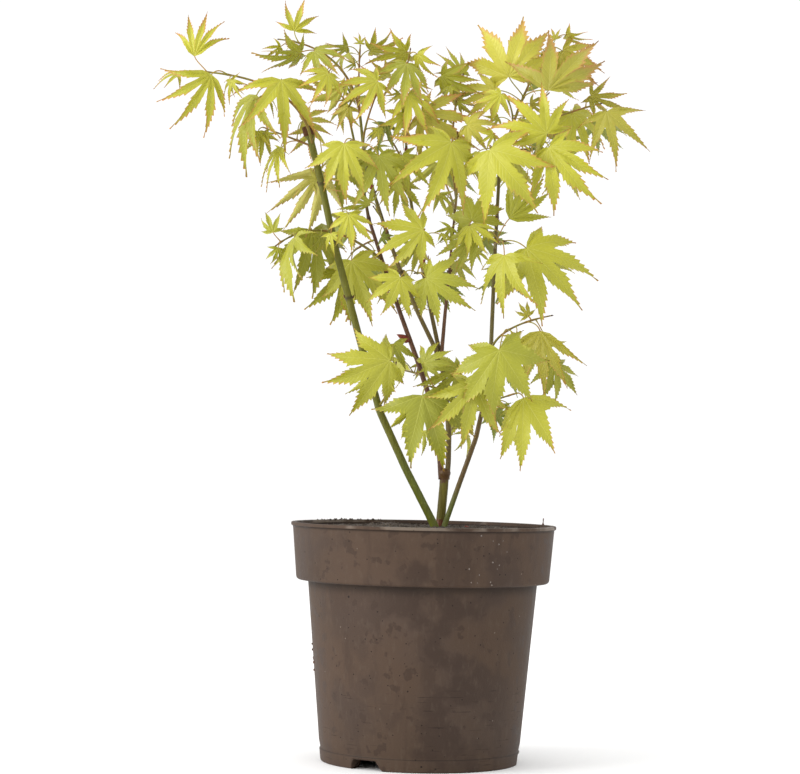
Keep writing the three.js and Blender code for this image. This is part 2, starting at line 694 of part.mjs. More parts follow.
// The lobes of a blade from one side to the other: the direction, length and droop of each.
function lobeList({ lobes, spread, seed, size }) {
  const side = (lobes - 1) / 2;
  return Array.from({ length: lobes }, (_, n) => {
    const i = n - side;
    const rank = Math.abs(i);
    const uneven = 1 + LOBE_REACH_SWING * swing(seed + 5 * i + 1) * Math.min(1, rank);
    const length = size * LOBE_REACH[lobes][rank] * uneven;
    const turn = Math.sign(i) * LOBE_TURN[lobes][rank] * spread;
    return {
      angle: rad(turn + LOBE_TURN_SWING * swing(seed + 3 * i)),
      length,
      droop: LOBE_DROOP * (0.5 + chance(seed + 7 * i + 2)) * length,
      width: LOBE_HALF_WIDTH * Math.sqrt(length * size) * (rank === side ? OUTER_LOBE_SHARE : 1),
    };
  });
}

// The outline of a palmate blade as rows of along, aside and rise. The stalk meets it at the
// first point; the lobes fan out round the origin, each with a drooping tip, a notch up to its
// neighbour and, on a longer blade, a shoulder on both sides.
function bladeOutline(leafRow) {
  const { size } = leafRow;
  const shouldered = size >= SHOULDERED_SIZE;
  const lobes = lobeList(leafRow);
  const points = [[-BLADE_NECK, 0, 0]];
  lobes.forEach((lobe, i) => {
    const [u, v] = [Math.cos(lobe.angle), Math.sin(lobe.angle)];
    const shoulder = (hand) => [
      u * lobe.length * LOBE_SHOULDER_AT - hand * v * lobe.width,
      v * lobe.length * LOBE_SHOULDER_AT + hand * u * lobe.width,
      LOBE_CUPPING * lobe.length - 0.3 * lobe.droop,
    ];
    if (i > 0) {
      const before = lobes[i - 1];
      const middle = (lobe.angle + before.angle) / 2;
      const depth = LOBE_NOTCH * Math.sqrt((size * (lobe.length + before.length)) / 2);
      points.push([Math.cos(middle) * depth, Math.sin(middle) * depth, LOBE_CUPPING * size]);
    }
    if (i > 0 && shouldered) {
      points.push(shoulder(-1));
    }
    points.push([u * lobe.length, v * lobe.length, -lobe.droop]);
    if (i + 1 < lobes.length && shouldered) {
      points.push(shoulder(1));
    }
  });
  return points;
}

// The three directions of a blade: along it, aside and out of its upper face.
function bladeFrame({ bearing, pitch, roll }) {
  const flat = Math.cos(rad(pitch));
  const along = new THREE.Vector3(
    Math.cos(rad(bearing)) * flat, -Math.sin(rad(pitch)), Math.sin(rad(bearing)) * flat);
  const out = new THREE.Vector3(0, -1, 0).addScaledVector(along, along.y).normalize();
  out.applyAxisAngle(along, rad(roll));
  return { along, aside: out.clone().cross(along), out };
}

// A thin blade folded along its ribs, with the stalk's end at base.
function makeBlade(leafRow, base) {
  const { along, aside, out } = bladeFrame(leafRow);
  const outline = [...bladeOutline(leafRow), [0, 0, 0]];
  const face = (lift) => outline.map(([u, v, w]) => base.clone()
    .addScaledVector(along, u + BLADE_NECK)
    .addScaledVector(aside, v)
    .addScaledVector(out, w + lift).toArray());
  const points = [...face(BLADE_THICKNESS / 2), ...face(-BLADE_THICKNESS / 2)];
  const middle = outline.length - 1;
  const under = outline.length;
  const faces = [];
  for (let i = 0; i < middle; i += 1) {
    const j = (i + 1) % middle;
    faces.push([i, under + i, under + j], [i, under + j, j]);
    faces.push([middle, i, j], [under + middle, under + j, under + i]);
  }
  return solid(points, faces);
}

// ---------------------------------------------------------------- sprays
// A point on the twig of a spray at a share of its length.
function twigPoint(spray, share) {
  return limbPoint(LIMBS[spray.limb], spray.at)
    .addScaledVector(new THREE.Vector3(...spray.reach), share)
    .addScaledVector(new THREE.Vector3(...spray.bow), 4 * share * (1 - share));
}

function twigLength(spray) {
  return new THREE.Vector3(...spray.reach).length();
}

function twigRadius(spray, share) {
  return (TWIG_RADIUS + TWIG_RADIUS_GAIN * twigLength(spray)) * lerp(1, TWIG_TIP_SHARE, share);
}

// The share of a twig at which it has come clear of the limb that bears it.
function clearOf(spray) {
  const limb = LIMBS[spray.limb];
  const here = limbPoint(limb, spray.at);
  const up = limbPoint(limb, spray.at).sub(limbPoint(limb, spray.at - 0.02)).normalize();
  const free = GAP + CLEARANCE;
  const wanted = limbRadius(limb, spray.at) + limb.swell + free;
  for (let share = 0; share < 0.6; share += 0.005) {
    const way = twigPoint(spray, share).sub(here);
    const lean = twigPoint(spray, share + 0.02).sub(twigPoint(spray, share)).normalize().dot(up);
    const climb = way.dot(up);
    const away = way.addScaledVector(up, -climb).length();
    const aside = away - Math.abs(lean) * twigRadius(spray, 0) > wanted;
    const above = climb - Math.sqrt(1 - lean * lean) * twigRadius(spray, 0) > free;
    if (aside || (spray.at === 1 && above)) {
      return share;
    }
  }
  throw new Error('a twig never comes clear of its limb');
}

// The shares of a twig at which its rings stand; a long twig has more of them.
function twigStations(spray) {
  const start = clearOf(spray);
  const steps = twigLength(spray) > LONG_TWIG ? LONG_TWIG_STEPS : SHORT_TWIG_STEPS;
  return Array.from({ length: steps + 1 }, (_, i) => lerp(start, 1, i / steps));
}

function makeTwig(spray) {
  const stations = twigStations(spray);
  const path = stations.map((share) => twigPoint(spray, share));
  const radii = stations.map((share) => twigRadius(spray, share));
  return tube(path, radii, TWIG_SIDES, false);
}

// The middle of the faceted twig at a share of its length.
function twigCore(spray, share) {
  const stations = twigStations(spray);
  const wanted = Math.max(share, stations[0] + 0.02);
  const i = Math.max(1, stations.findIndex((station) => station >= wanted));
  const part = (wanted - stations[i - 1]) / (stations[i] - stations[i - 1]);
  return twigPoint(spray, stations[i - 1]).lerp(twigPoint(spray, stations[i]), part);
}

// The stalk of a leaf, from inside the twig to a little way into the blade.
function makeStalk(leafRow, from, base) {
  const sunk = base.clone().addScaledVector(bladeFrame(leafRow).along, STALK_SINK);
  const tip = STALK_RADIUS * STALK_TAPER;
  const length = from.distanceTo(base);
  if (length < LONG_STALK) {
    return tube([from, sunk], [STALK_RADIUS, tip], 3, false);
  }
  const middle = from.clone().lerp(base, 0.5);
  middle.z += length * STALK_ARCH;
  return tube([from, middle, sunk], [STALK_RADIUS, STALK_RADIUS, tip], 3, false);
}

function makeLeaf(spray, leafRow) {
  const base = twigPoint(spray, leafRow.on).add(new THREE.Vector3(...leafRow.stalk));
  return makeBlade(leafRow, base).add(makeStalk(leafRow, twigCore(spray, leafRow.on), base));
}

// True if a solid comes nearer than the gap to any of the others.
function touches(body, others) {
  const box = body.boundingBox();
  return others.some((other) => {
    const far = other.boundingBox();
    const apart = [0, 1, 2].some((i) => box.min[i] > far.max[i] + GAP
      || far.min[i] > box.max[i] + GAP);
    return !apart && body.minGap(other, 2 * GAP) < GAP;
  });
}

// A spray of leaves on one twig, fused. A leaf that would touch a limb or another spray is
// left out.
function makeSpray(spray, order, taken) {
  let mass = makeTwig(spray);
  spray.leaves.forEach((row, i) => {
    const body = makeLeaf(spray, grown(row, SEED_STEP * order + i, spray.reach[1] > BEHIND));
    if (!touches(body, taken)) {
      mass = mass.add(body);
    }
  });
  return biggest(mass);
}

// ---------------------------------------------------------------- assembly
function makePlant() {
  const group = new THREE.Group();
  group.name = 'potted_maple';
  group.add(toMesh('pot', makePot(), 'pot'));
  group.add(toMesh('soil', makeSoil(), 'soil'));
  const taken = [];
  for (const [name, limb] of Object.entries(LIMBS)) {
    const body = makeLimb(limb);
    taken.push(body);
    group.add(toMesh(name, body, limb.finish));
  }
  Object.entries(SPRAYS).forEach(([name, spray], order) => {
    const body = makeSpray(spray, order, taken);
    taken.push(body);
    group.add(toMesh(name, body, spray.tint));
  });
  return group;
}

export default makePlant();
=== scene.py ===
"""Potted japanese maple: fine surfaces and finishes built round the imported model.

Lengths in the rows below are millimetres, as in the part's source, and every mesh is
written in metres. The plant grows by the same rule as its solids: limbs stand on the
soil or on each other, twigs leave the limbs, stalks leave the twigs and each stalk ends
in a palmate blade. The rule is carried on here to bark, buds, side shoots, serrated
margins and ribs.
"""

from __future__ import annotations

import logging
import math
from dataclasses import dataclass, field
from enum import Enum

import bpy
import numpy as np
from mathutils import Matrix, Vector


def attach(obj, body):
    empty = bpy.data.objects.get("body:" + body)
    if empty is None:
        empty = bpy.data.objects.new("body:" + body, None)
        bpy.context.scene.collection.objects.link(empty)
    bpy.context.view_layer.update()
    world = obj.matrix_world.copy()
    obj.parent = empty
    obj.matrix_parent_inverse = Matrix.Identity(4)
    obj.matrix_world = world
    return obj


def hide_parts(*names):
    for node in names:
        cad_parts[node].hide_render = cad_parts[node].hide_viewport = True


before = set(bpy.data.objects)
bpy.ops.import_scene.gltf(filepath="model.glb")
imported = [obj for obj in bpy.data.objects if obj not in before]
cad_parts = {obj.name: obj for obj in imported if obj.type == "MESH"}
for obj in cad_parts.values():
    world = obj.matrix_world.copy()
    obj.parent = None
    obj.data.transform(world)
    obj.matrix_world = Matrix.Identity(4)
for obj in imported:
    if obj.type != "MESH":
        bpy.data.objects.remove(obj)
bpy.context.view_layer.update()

logging.basicConfig(level=logging.INFO, format="%(message)s")
LOG = logging.getLogger("maple")

Array = np.ndarray
Socket = bpy.types.NodeSocket
Material = bpy.types.Material
Node = bpy.types.Node
NodeTree = bpy.types.NodeTree
Piece = bpy.types.Object
Pair = tuple[float, float]
Triple = tuple[float, float, float]

MM = 0.001
BODY = "root"

# The rule's own numbers, as in the part's source.
SOIL_LEVEL = 168.0
GAP = 0.3
LOBE_REACH = {7: (1.0, 0.9, 0.66, 0.34), 5: (1.0, 0.84, 0.5)}
LOBE_TURN = {7: (0.0, 33.0, 69.0, 112.0), 5: (0.0, 39.0, 88.0)}
BLADE_NECK = 2.5
SEVEN_LOBED_SIZE = 23.0
BEHIND = 30.0
SEED_STEP = 17
PITCH = 2.0
PITCH_SWING = 9.0
ROLL_SWING = 20.0
SPREAD = 0.95
SPREAD_SWING = 0.1
TWIG_RADIUS = 0.9
TWIG_RADIUS_GAIN = 0.004


class Tint(Enum):
    """The colours that leaves are dealt."""

    YELLOW = "yellow"
    LIME = "lime"
    GREEN = "green"
    # This darker green is dealt to leaves at the back and inside the crown, as painted shade.
    DEEP_SHADE = "deep"
    GOLD = "gold"
    BRONZE = "bronze"


YELLOW, LIME, GREEN, DEEP_SHADE, GOLD, BRONZE = Tint


class Form(Enum):
    """The ways in which a blade is held and cut."""

    FLAT = "flat"
    BROAD = "broad"
    SLIM = "slim"
    HANGING = "hanging"
    UPRIGHT = "upright"
    TURNED = "turned"
    SPREAD = "spread"


@dataclass(frozen=True)
class Cut:
    """What a form changes, each number but the lobes a share of a flat blade's.

    turn is how far the lobes turn aside, clockwise and the other way. even is a power on
    their reach: under 1 the side lobes are longer.
    """

    lobes: int | None = None
    turn: Pair = (1.0, 1.0)
    width: float = 1.0
    notch: float = 1.0
    even: float = 0.8
    sag: float = 1.0
    fold: float = 1.0


CUTS: dict[Form, Cut] = {
    Form.FLAT: Cut(),
    Form.BROAD: Cut(7, (0.85, 1.3), 1.4, 1.2, 0.7, 0.6, 0.6),
    Form.SLIM: Cut(5, (1.0, 1.0), 0.8, 0.85, 0.7, 1.0, 1.2),
    Form.HANGING: Cut(5, (0.78, 0.6), 0.72, 0.8, 0.5, 1.2, 1.4),
    Form.UPRIGHT: Cut(5, (0.48, 0.48), 0.75, 1.0, 0.4, 0.2, 1.2),
    Form.TURNED: Cut(5, (0.42, 1.15), 1.08, 1.15, 0.6, 0.3, 0.8),
    Form.SPREAD: Cut(5, (1.15, 1.0), 1.05, 1.0, 0.65, 0.7, 0.8),
}


@dataclass(frozen=True)
class Limb:
    """One tapering limb: where it stands, how it climbs and how thick it is.

    base is what it stands on and foot where on it. rise is the height climbed, drift the
    depth gained and lean each internode's angle from upright. girth is the radius at the
    foot and the tip, swell how far the joints above plain_below stand out.
    """

    base: str
    foot: Pair
    rise: float
    drift: float
    lean: tuple[float, ...]
    girth: Pair
    swell: float
    flare: float = 0.0
    knob: Pair | None = None
    fork: float = 0.0
    plain_below: float = 340.0


@dataclass(frozen=True)
class RedBud:
    """A cluster of red bud scales: the limb and height it stands at and where it points."""

    limb: str
    height: float
    toward: Triple
    scale: float
    count: int


@dataclass(frozen=True)
class Leaf:
    """One leaf: where its stalk leaves the twig, the stalk's reach, and the blade.

    bearing is the blade's direction in degrees up from the right, pitch brings its tip
    forward and roll turns it about its length. The seed settles what is left out.
    """

    on: float
    stalk: Triple
    size: float
    bearing: float
    pitch: float | None = None
    roll: float | None = None
    tint: Tint | None = None
    form: Form = Form.FLAT


@dataclass(frozen=True)
class Spray:
    """A twig with its leaves: the limb it leaves, how far it goes and how it bows."""

    name: str
    limb: str
    at: float
    reach: Triple
    bow: Triple
    tint: Tint
    leaves: tuple[Leaf, ...]

    @property
    def behind(self) -> bool:
        """Whether it reaches to the plant's back, where its blades face the other way."""
        return self.reach[1] > BEHIND

    @property
    def facing(self) -> float:
        """The roll that turns its blades to the front or to the back."""
        return 180 if self.behind else 0


LIMBS: dict[str, Limb] = {
    "left_cane": Limb(
        "soil", (8, -4), 284, -16, (-28, -25.5, -17, -16, -16, -13, -15),
        (2.8, 2.4), 0.5, flare=0.4, knob=(4.2, 6), plain_below=255,
    ),
    "trunk": Limb("soil", (12, 6), 46, 0, (4, 4, 1), (3.2, 3.3), 0.0, flare=0.5, fork=1.3),
    "right_stem": Limb(
        "soil", (14.7, -2), 288, 12, (18.5, 19, 11.6, 5.5, 1.4, 1.3, 2, 2, 14),
        (1.9, 1.1), 0.3, flare=0.3,
    ),
    "bough_left": Limb(
        "trunk", (11.3, 6), 247, 16, (-8, -19, -21, -20, -19, -11, -13), (2.2, 0.8), 0.35,
    ),
    "bough_middle": Limb("trunk", (17, 6), 79, -5, (0, -5, -7, -10), (1.9, 1.9), 0.3, fork=1.0),
    "leader_front": Limb(
        "bough_middle", (7, 0), 170, -10, (-27, -24, -21, -19, -15, -7), (1.65, 1), 0.4,
    ),
    "leader_centre": Limb(
        "bough_middle", (9, 4.5), 167, 5.5, (-13, -12, -12, -10, -6, -5), (1.6, 0.9), 0.35,
    ),
    "leader_back": Limb(
        "bough_middle", (10.6, 1), 118, 31, (4, 5, 4, 5), (1.45, 0.7), 0.3,
    ),
}

RED_BUDS: tuple[RedBud, ...] = (
    RedBud("bough_left", 302, (-1, -0.4, 0.2), 3.0, 5),
    RedBud("leader_front", 409, (-0.7, -0.4, 0.9), 1.7, 5),
    RedBud("leader_centre", 438, (-0.2, -0.4, 1), 1.2, 4),
    RedBud("leader_centre", 357, (0.5, -0.5, 0.9), 1.4, 3),
)

SPRAYS: tuple[Spray, ...] = (
    Spray("spray_far_left", "left_cane", 0.95, (-92, -5, 51.5), (20, -15, 11), LIME, (
        Leaf(0.9, (-10, 3, 9), 35, 79, form=Form.UPRIGHT),
        Leaf(0.95, (-9, -3, -2), 20, -165, pitch=10, roll=50, form=Form.SLIM),
        Leaf(0.8, (-9, -15, 0), 47, -118, roll=-15, form=Form.HANGING),
        Leaf(0.45, (0, -16, 11), 54, -88, form=Form.SLIM),
        Leaf(0.55, (-9, 15, -1), 58, -104, roll=50, tint=GREEN, form=Form.HANGING),
    )),
    Spray("spray_left_small", "left_cane", 0.95, (-35, 11, 14), (1, 2, 0), LIME, (
        Leaf(0.85, (-6, -5, 0), 23, -100, form=Form.SLIM),
        Leaf(0.3, (-11, -6, -3), 35, -112, roll=55, form=Form.HANGING),
        Leaf(0.35, (1, 10, 15), 24, 5, tint=GOLD),
    )),
    Spray("spray_top_left", "leader_front", 1, (-58, -12, 50), (10, -12, 9), LIME, (
        Leaf(0.85, (-4, 0, 6), 26, 76, roll=5, form=Form.SLIM),
        Leaf(0.65, (-11, -11, -2), 34, -170, roll=-62, tint=GREEN),
        Leaf(0.6, (-9, -17, 1), 26, -40, pitch=25, tint=GREEN),
        Leaf(0.4, (-7, -30, -5), 25, -120, roll=-15),
    )),
    Spray("spray_top_middle", "leader_front", 1, (-1, 14, 50), (-1, 7, -2), GREEN, (
        Leaf(0.9, (-6, -9, 5), 21, -170, roll=-60),
        Leaf(0.75, (-9, -23, 6), 19, -105, pitch=50, roll=45),
        Leaf(0.95, (0, -4, 2), 9, 90, tint=LIME),
        Leaf(0.85, (5, 7, 7), 27, 20, roll=60, tint=LIME),
        Leaf(0.55, (25, 9, 7), 24, 175, roll=-60, tint=LIME),
        Leaf(0.25, (-6, 20, 0), 20, -120, roll=20, tint=GOLD),
    )),
    Spray("spray_upper_left", "leader_front", 0.86, (11, -33, 38), (-3, -8, -5), LIME, (
        Leaf(0.9, (3, -7, 10), 33, -150),
    )),
    Spray("spray_upper_front", "leader_front", 0.85, (-8, -54, -1), (3, -1, 0), LIME, (
        Leaf(0.85, (-7, -19, -1), 41, -90),
        Leaf(0.75, (15, -14, -8), 42, -85, tint=GREEN),
    )),
    Spray("spray_behind_cane", "left_cane", 0.91, (7, 33, 8), (-2, 2, -3), GOLD, (
        Leaf(0.75, (0, 6, -3), 52, -122, form=Form.HANGING),
        Leaf(0.75, (12, 16, 9), 42, -88, roll=30, tint=GREEN),
        Leaf(0.75, (-5, 9, 26), 26, -135),
    )),
    Spray("spray_left_middle", "bough_left", 0.59, (-76, -27, 7), (-3, 13, 17), GREEN, (
        Leaf(0.85, (4, -19, 0), 45, -100, roll=70),
        Leaf(0.65, (0, 6, 3), 49, -80, roll=-30),
        Leaf(0.95, (-5, -4, 4), 17, 105),
        Leaf(0.95, (-1, -6, -2), 13, -105, roll=-20),
    )),
    Spray("spray_left_behind", "bough_left", 0.65, (-17, 16, -8), (1, 3, 2), GREEN, (
        Leaf(0.75, (-11, 6, -12), 43, -98, roll=-40),
        Leaf(0.75, (-6, -22, -9), 49, -70, tint=LIME),
    )),
    Spray("spray_cane_front", "left_cane", 0.75, (9, -32, 7), (0, 0, 0), LIME, (
        Leaf(0.8, (6, -16, 2), 27, -80),
    )),
    Spray("spray_centre_front", "leader_front", 0.5, (-9, -29, 15), (2, -1, -1), DEEP_SHADE, (
        Leaf(0.85, (-3, -21, 4), 24, 170, pitch=30, roll=-50, tint=GREEN),
    )),
    Spray("spray_centre_left", "leader_centre", 0.49, (4, -47, -1), (0, 0, 0), LIME, (
        Leaf(0.85, (3, -19, 3), 38, -162),
    )),
    Spray("spray_centre", "leader_centre", 0.36, (-6, -52, -7), (2, 0, -1), LIME, (
        Leaf(0.85, (-11, -28, -3), 29, -112),
        Leaf(0.85, (4, -18, -3), 38, -33, roll=5, tint=GREEN),
    )),
    Spray("spray_centre_right", "leader_back", 0.84, (16, -49, -15), (-3, -4, 4), GREEN, (
        Leaf(0.9, (5, -9, -3), 38, -138, roll=30, form=Form.UPRIGHT),
        Leaf(0.75, (1, -3, 1), 30, 60, pitch=-20, form=Form.BROAD),
        Leaf(0.85, (-3, -13, 2), 28, -62, pitch=35, tint=LIME),
    )),
    Spray("spray_crown_centre", "leader_centre", 1, (3, -32, 47), (-2, -5, -2), LIME, (
        Leaf(0.75, (0, -16, 4), 35, -95, pitch=25, tint=GREEN),
        Leaf(0.6, (1, -24, -11), 33, -60, roll=-25),
        Leaf(0.95, (4, -3, 2), 22, -55, roll=50),
        Leaf(0.9, (1, 7, 6), 32, -170, roll=-40),
    )),
    Spray("spray_crown_front", "leader_centre", 0.9, (3, -45, 14), (-1, -2, -5), GOLD, (
        Leaf(0.75, (7, 2, 13), 46, -30, roll=10),
        Leaf(0.95, (-1, -3, 2), 21, -165, roll=-5, tint=LIME),
    )),
    Spray("spray_crown_right", "leader_back", 0.97, (2, -41, 84), (-5, -3, 3), GREEN, (
        Leaf(0.85, (-15, -10, 11), 31, -25, roll=35),
        Leaf(0.8, (-5, 6, 3), 22, -20, roll=45),
        Leaf(0.95, (1, 2, 3), 25, 115, roll=30),
    )),
    Spray("spray_upper_centre", "leader_back", 0.9, (-1, -75, 46), (1, 0, 0), LIME, (
        Leaf(0.9, (-4, -21, -1), 55, -110),
        Leaf(0.95, (4, -2, 9), 29, -15, tint=GOLD),
    )),
    Spray("spray_inner", "leader_centre", 0.73, (-19, -19, 36), (2, 1, 2), GREEN, (
        Leaf(0.85, (-1, -15, 10), 22, -110, roll=10, tint=DEEP_SHADE),
        Leaf(0.5, (1, -22, -1), 32, -75),
        Leaf(0.2, (-7, -15, -8), 27, -70),
    )),
    Spray("spray_right_centre", "right_stem", 0.91, (-10, -65, 5), (1, 0, 1), LIME, (
        Leaf(0.9, (-4, -20, -1), 54, -50, form=Form.SPREAD),
    )),
    Spray("spray_right_small", "right_stem", 0.97, (-3, -38, 27), (4, -1, 0), LIME, (
        Leaf(0.9, (-4, -9, 6), 25, -135),
    )),
    Spray("spray_top_right", "right_stem", 1, (29, -2, 67), (-2, -7, 0), GOLD, (
        Leaf(0.35, (-12, -13, 10), 46, 77, tint=YELLOW, form=Form.BROAD),
        Leaf(0.35, (14, -37, -2), 56, 46, tint=BRONZE, form=Form.TURNED),
        Leaf(0.9, (9, 4, 0), 36, -44),
        Leaf(0.9, (6, -2, 3), 10, 105),
        Leaf(0.9, (11, 6, 11), 20, -10, roll=65),
        Leaf(0.2, (7, 15, 8), 16, -5, tint=BRONZE),
        Leaf(0.3, (-17, -8, 7), 29, -165, tint=YELLOW),
    )),
    Spray("spray_far_right", "right_stem", 0.98, (64, -24, 23), (-1, 1, 2), BRONZE, (
        Leaf(0.85, (1, -2, 9), 29, -14, roll=45),
        Leaf(0.9, (10, -15, -3), 43, -78, form=Form.SLIM),
        Leaf(0.7, (0, 10, 3), 38, -64, roll=-30, tint=LIME),
    )),
    Spray("spray_right_front", "right_stem", 0.96, (22, -60, -2), (-2, -1, 1), LIME, (
        Leaf(0.85, (7, -30, -7), 50, -54, roll=15),
        Leaf(0.9, (7, -25, -1), 43, 130),
    )),
    Spray("spray_right_middle", "right_stem", 0.7, (5, -36, 2), (-3, 0, 1), LIME, (
        Leaf(0.55, (7, -7, 15), 41, 48, tint=GREEN, form=Form.UPRIGHT),
        Leaf(0.8, (16, -22, -4), 56, -45),
        Leaf(0.8, (2, -40, -10), 43, -94, roll=38, form=Form.SLIM),
    )),
    Spray("spray_right_lower", "right_stem", 0.44, (41, -31, 25), (-9, -10, 2), GOLD, (
        Leaf(0.75, (9, -9, -4), 50, -84, form=Form.HANGING),
        Leaf(0.8, (0, 0, 1), 13, 130),
        Leaf(0.85, (14, 10, -29), 29, -79, tint=GREEN),
        Leaf(0.5, (-8, -54, -14), 47, -97, tint=GREEN, form=Form.BROAD),
    )),
    Spray("spray_low_right", "right_stem", 0.28, (23, -49, 15), (-8, -5, 0), LIME, (
        Leaf(0.7, (-16, -27, 12), 45, -100, roll=-10),
        Leaf(0.9, (10, -11, 1), 50, -94, roll=10, form=Form.TURNED),
    )),
    Spray("spray_low_centre", "bough_middle", 0.64, (-13, -41, 3), (2, -1, 0), GREEN, (
        Leaf(0.8, (-9, -25, -4), 55, -66, form=Form.SPREAD),
        Leaf(0.8, (-9, -9, 15), 23, 35),
        Leaf(0.4, (14, -11, 14), 33, -163),
    )),
    Spray("spray_low_left", "left_cane", 0.3, (12, -31, 30), (2, -1, -2), LIME, (
        Leaf(0.85, (-1, -16, 8), 48, -158),
        Leaf(0.8, (-2, 4, 24), 21, -65, tint=GREEN),
    )),
    # The leaves behind are partly dealt the darker green of painted shade.
    Spray("back_top_left", "bough_left", 1, (-11, 34, 27), (2, -1, 2), GREEN, (
        Leaf(0.9, (3, 8, -1), 28, 155),
        Leaf(0.6, (5, 5, 1), 20, 45, tint=DEEP_SHADE),
    )),
    Spray("back_upper_left", "bough_left", 0.85, (-12, 44, 17), (3, 1, 0), GREEN, (
        Leaf(0.85, (-5, 16, 8), 30, -100),
        Leaf(0.75, (3, 5, 2), 31, -40, tint=DEEP_SHADE),
    )),
    Spray("back_left", "bough_left", 0.66, (-18, 51, 15), (4, 2, -1), GREEN, (
        Leaf(0.85, (-7, 17, 8), 27, -110),
        Leaf(0.7, (-14, 8, 2), 20, -115, roll=220, tint=DEEP_SHADE),
    )),
    Spray("back_left_low", "bough_left", 0.46, (-10, 49, 14), (2, 1, 0), GREEN, (
        Leaf(0.85, (0, 16, 22), 26, -60),
        Leaf(0.9, (-8, 2, 18), 28, -120, tint=DEEP_SHADE),
    )),
    Spray("back_left_lower", "bough_left", 0.25, (-22, 50, 7), (4, 2, 0), GREEN, (
        Leaf(0.9, (-11, 12, 1), 30, -145),
    )),
    Spray("back_low_left", "bough_left", 0.09, (-15, 53, 15), (4, 2, -1), GREEN, (
        Leaf(0.85, (-7, 20, 6), 24, -105),
        Leaf(0.8, (1, 15, 11), 24, -65, tint=DEEP_SHADE),
    )),
    Spray("back_low", "bough_middle", 0.23, (16, 55, 19), (-5, 3, -3), GREEN, (
        Leaf(0.85, (1, 21, 15), 32, -110),
        Leaf(0.85, (22, 5, 7), 27, -50, tint=DEEP_SHADE),
    )),
    Spray("back_centre", "leader_centre", 0.29, (2, 58, 25), (1, 1, -2), GREEN, (
        Leaf(0.85, (-7, 20, 15), 27, -130),
        Leaf(0.85, (4, 14, -7), 29, -65, tint=DEEP_SHADE),
    )),
    Spray("back_right_centre", "leader_back", 0.56, (16, 54, 20), (-2, 1, -1), GREEN, (
        Leaf(0.9, (2, 13, 4), 18, -105),
        Leaf(0.85, (10, 1, 6), 23, -10, tint=DEEP_SHADE),
    )),
    Spray("back_upper_centre", "leader_back", 0.87, (-10, 56, 35), (2, 1, -1), GREEN, (
        Leaf(0.9, (-4, 15, 16), 35, -100),
        Leaf(0.9, (5, 1, 10), 28, -45, tint=DEEP_SHADE),
    )),
    Spray("back_right_upper", "right_stem", 0.88, (13, 53, 20), (-1, 0, 0), GREEN, (
        Leaf(0.9, (-1, 14, 3), 32, -80),
    )),
    Spray("back_right", "right_stem", 0.94, (42, 59, 9), (-4, 3, 3), DEEP_SHADE, (
        Leaf(0.9, (8, 17, 3), 38, -70, tint=GREEN),
        Leaf(0.8, (6, 2, 6), 28, 50),
        Leaf(0.9, (29, 1, 24), 31, -40),
    )),
    Spray("back_top_right", "right_stem", 0.97, (32, 58, 44), (-5, 5, -2), GREEN, (
        Leaf(0.9, (11, 12, 13), 31, 40),
        Leaf(0.95, (-2, 0, 6), 25, 120, tint=DEEP_SHADE),
    )),
    Spray("back_right_middle", "right_stem", 0.65, (24, 56, 11), (-5, 2, 0), GREEN, (
        Leaf(0.85, (13, 20, 4), 35, -40),
        Leaf(0.8, (-2, 8, -3), 30, -105, tint=DEEP_SHADE),
    )),
    Spray("back_right_low", "right_stem", 0.42, (22, 57, 11), (-4, 2, -1), GREEN, (
        Leaf(0.85, (21, 11, 10), 35, -75),
        Leaf(0.85, (-5, 21, -3), 34, -100, tint=DEEP_SHADE),
    )),
)


def chance(seed: float) -> float:
    """A repeatable number from 0 to 1 for a seed."""
    turns = math.sin(seed * 12.9898 + 4.1414) * 43758.5453
    return turns - math.floor(turns)


def swing(seed: float) -> float:
    """A repeatable number from -1 to 1 for a seed."""
    return 2 * chance(seed) - 1


def unit(vector: Array) -> Array:
    """The vectors, scaled to a length of 1."""
    length = np.linalg.norm(vector, axis=-1, keepdims=True)
    return vector / np.maximum(length, 1e-9)


def smooth(share: Array | float) -> Array | float:
    """An even step from 0 to 1 with level ends."""
    part = np.clip(share, 0.0, 1.0)
    return part * part * (3 - 2 * part)


def ripple(turn: Array, along: Array, waves: int, seed: float) -> Array:
    """A wandering relief from -1 to 1 over a turn and a height.

    Args:
        turn: The angle round the piece, in radians.
        along: The place along it, in any unit.
        waves: How many sine waves are summed.
        seed: What the phases are drawn from.

    Returns:
        Their mean. Each wave's turns are whole, so the relief closes on itself.
    """
    total = np.zeros(np.broadcast(turn, along).shape)
    for k in range(1, waves + 1):
        spin = round(2 + 3 * k * (0.6 + chance(seed + k)))
        pace = k * (0.5 + chance(seed + 10 + k))
        total = total + np.sin(spin * turn + pace * along + 6.3 * chance(seed + 20 + k))
    return total / waves


def heading(turn: float) -> Array:
    """The level direction at an angle in radians."""
    return np.array([math.cos(turn), math.sin(turn), 0.0])


def round_turns(count: int) -> Array:
    """The angles of evenly spaced points round a ring, in radians."""
    return np.arange(count) * 2 * math.pi / count


# ------------------------ meshes
def grid_quads(rows: int, columns: int, wrap: bool) -> Array:
    """Faces of a grid of points.

    Args:
        rows: The number of rows.
        columns: The points in a row.
        wrap: Whether the last column joins the first.

    Returns:
        Four corners a face, turned so that rows climbing a tube face outwards.
    """
    last = columns if wrap else columns - 1
    i, j = np.meshgrid(np.arange(rows - 1), np.arange(last), indexing="ij")
    k = (j + 1) % columns
    corners = (i * columns + j, i * columns + k, (i + 1) * columns + k, (i + 1) * columns + j)
    return np.stack(corners, axis=-1).reshape(-1, 4)


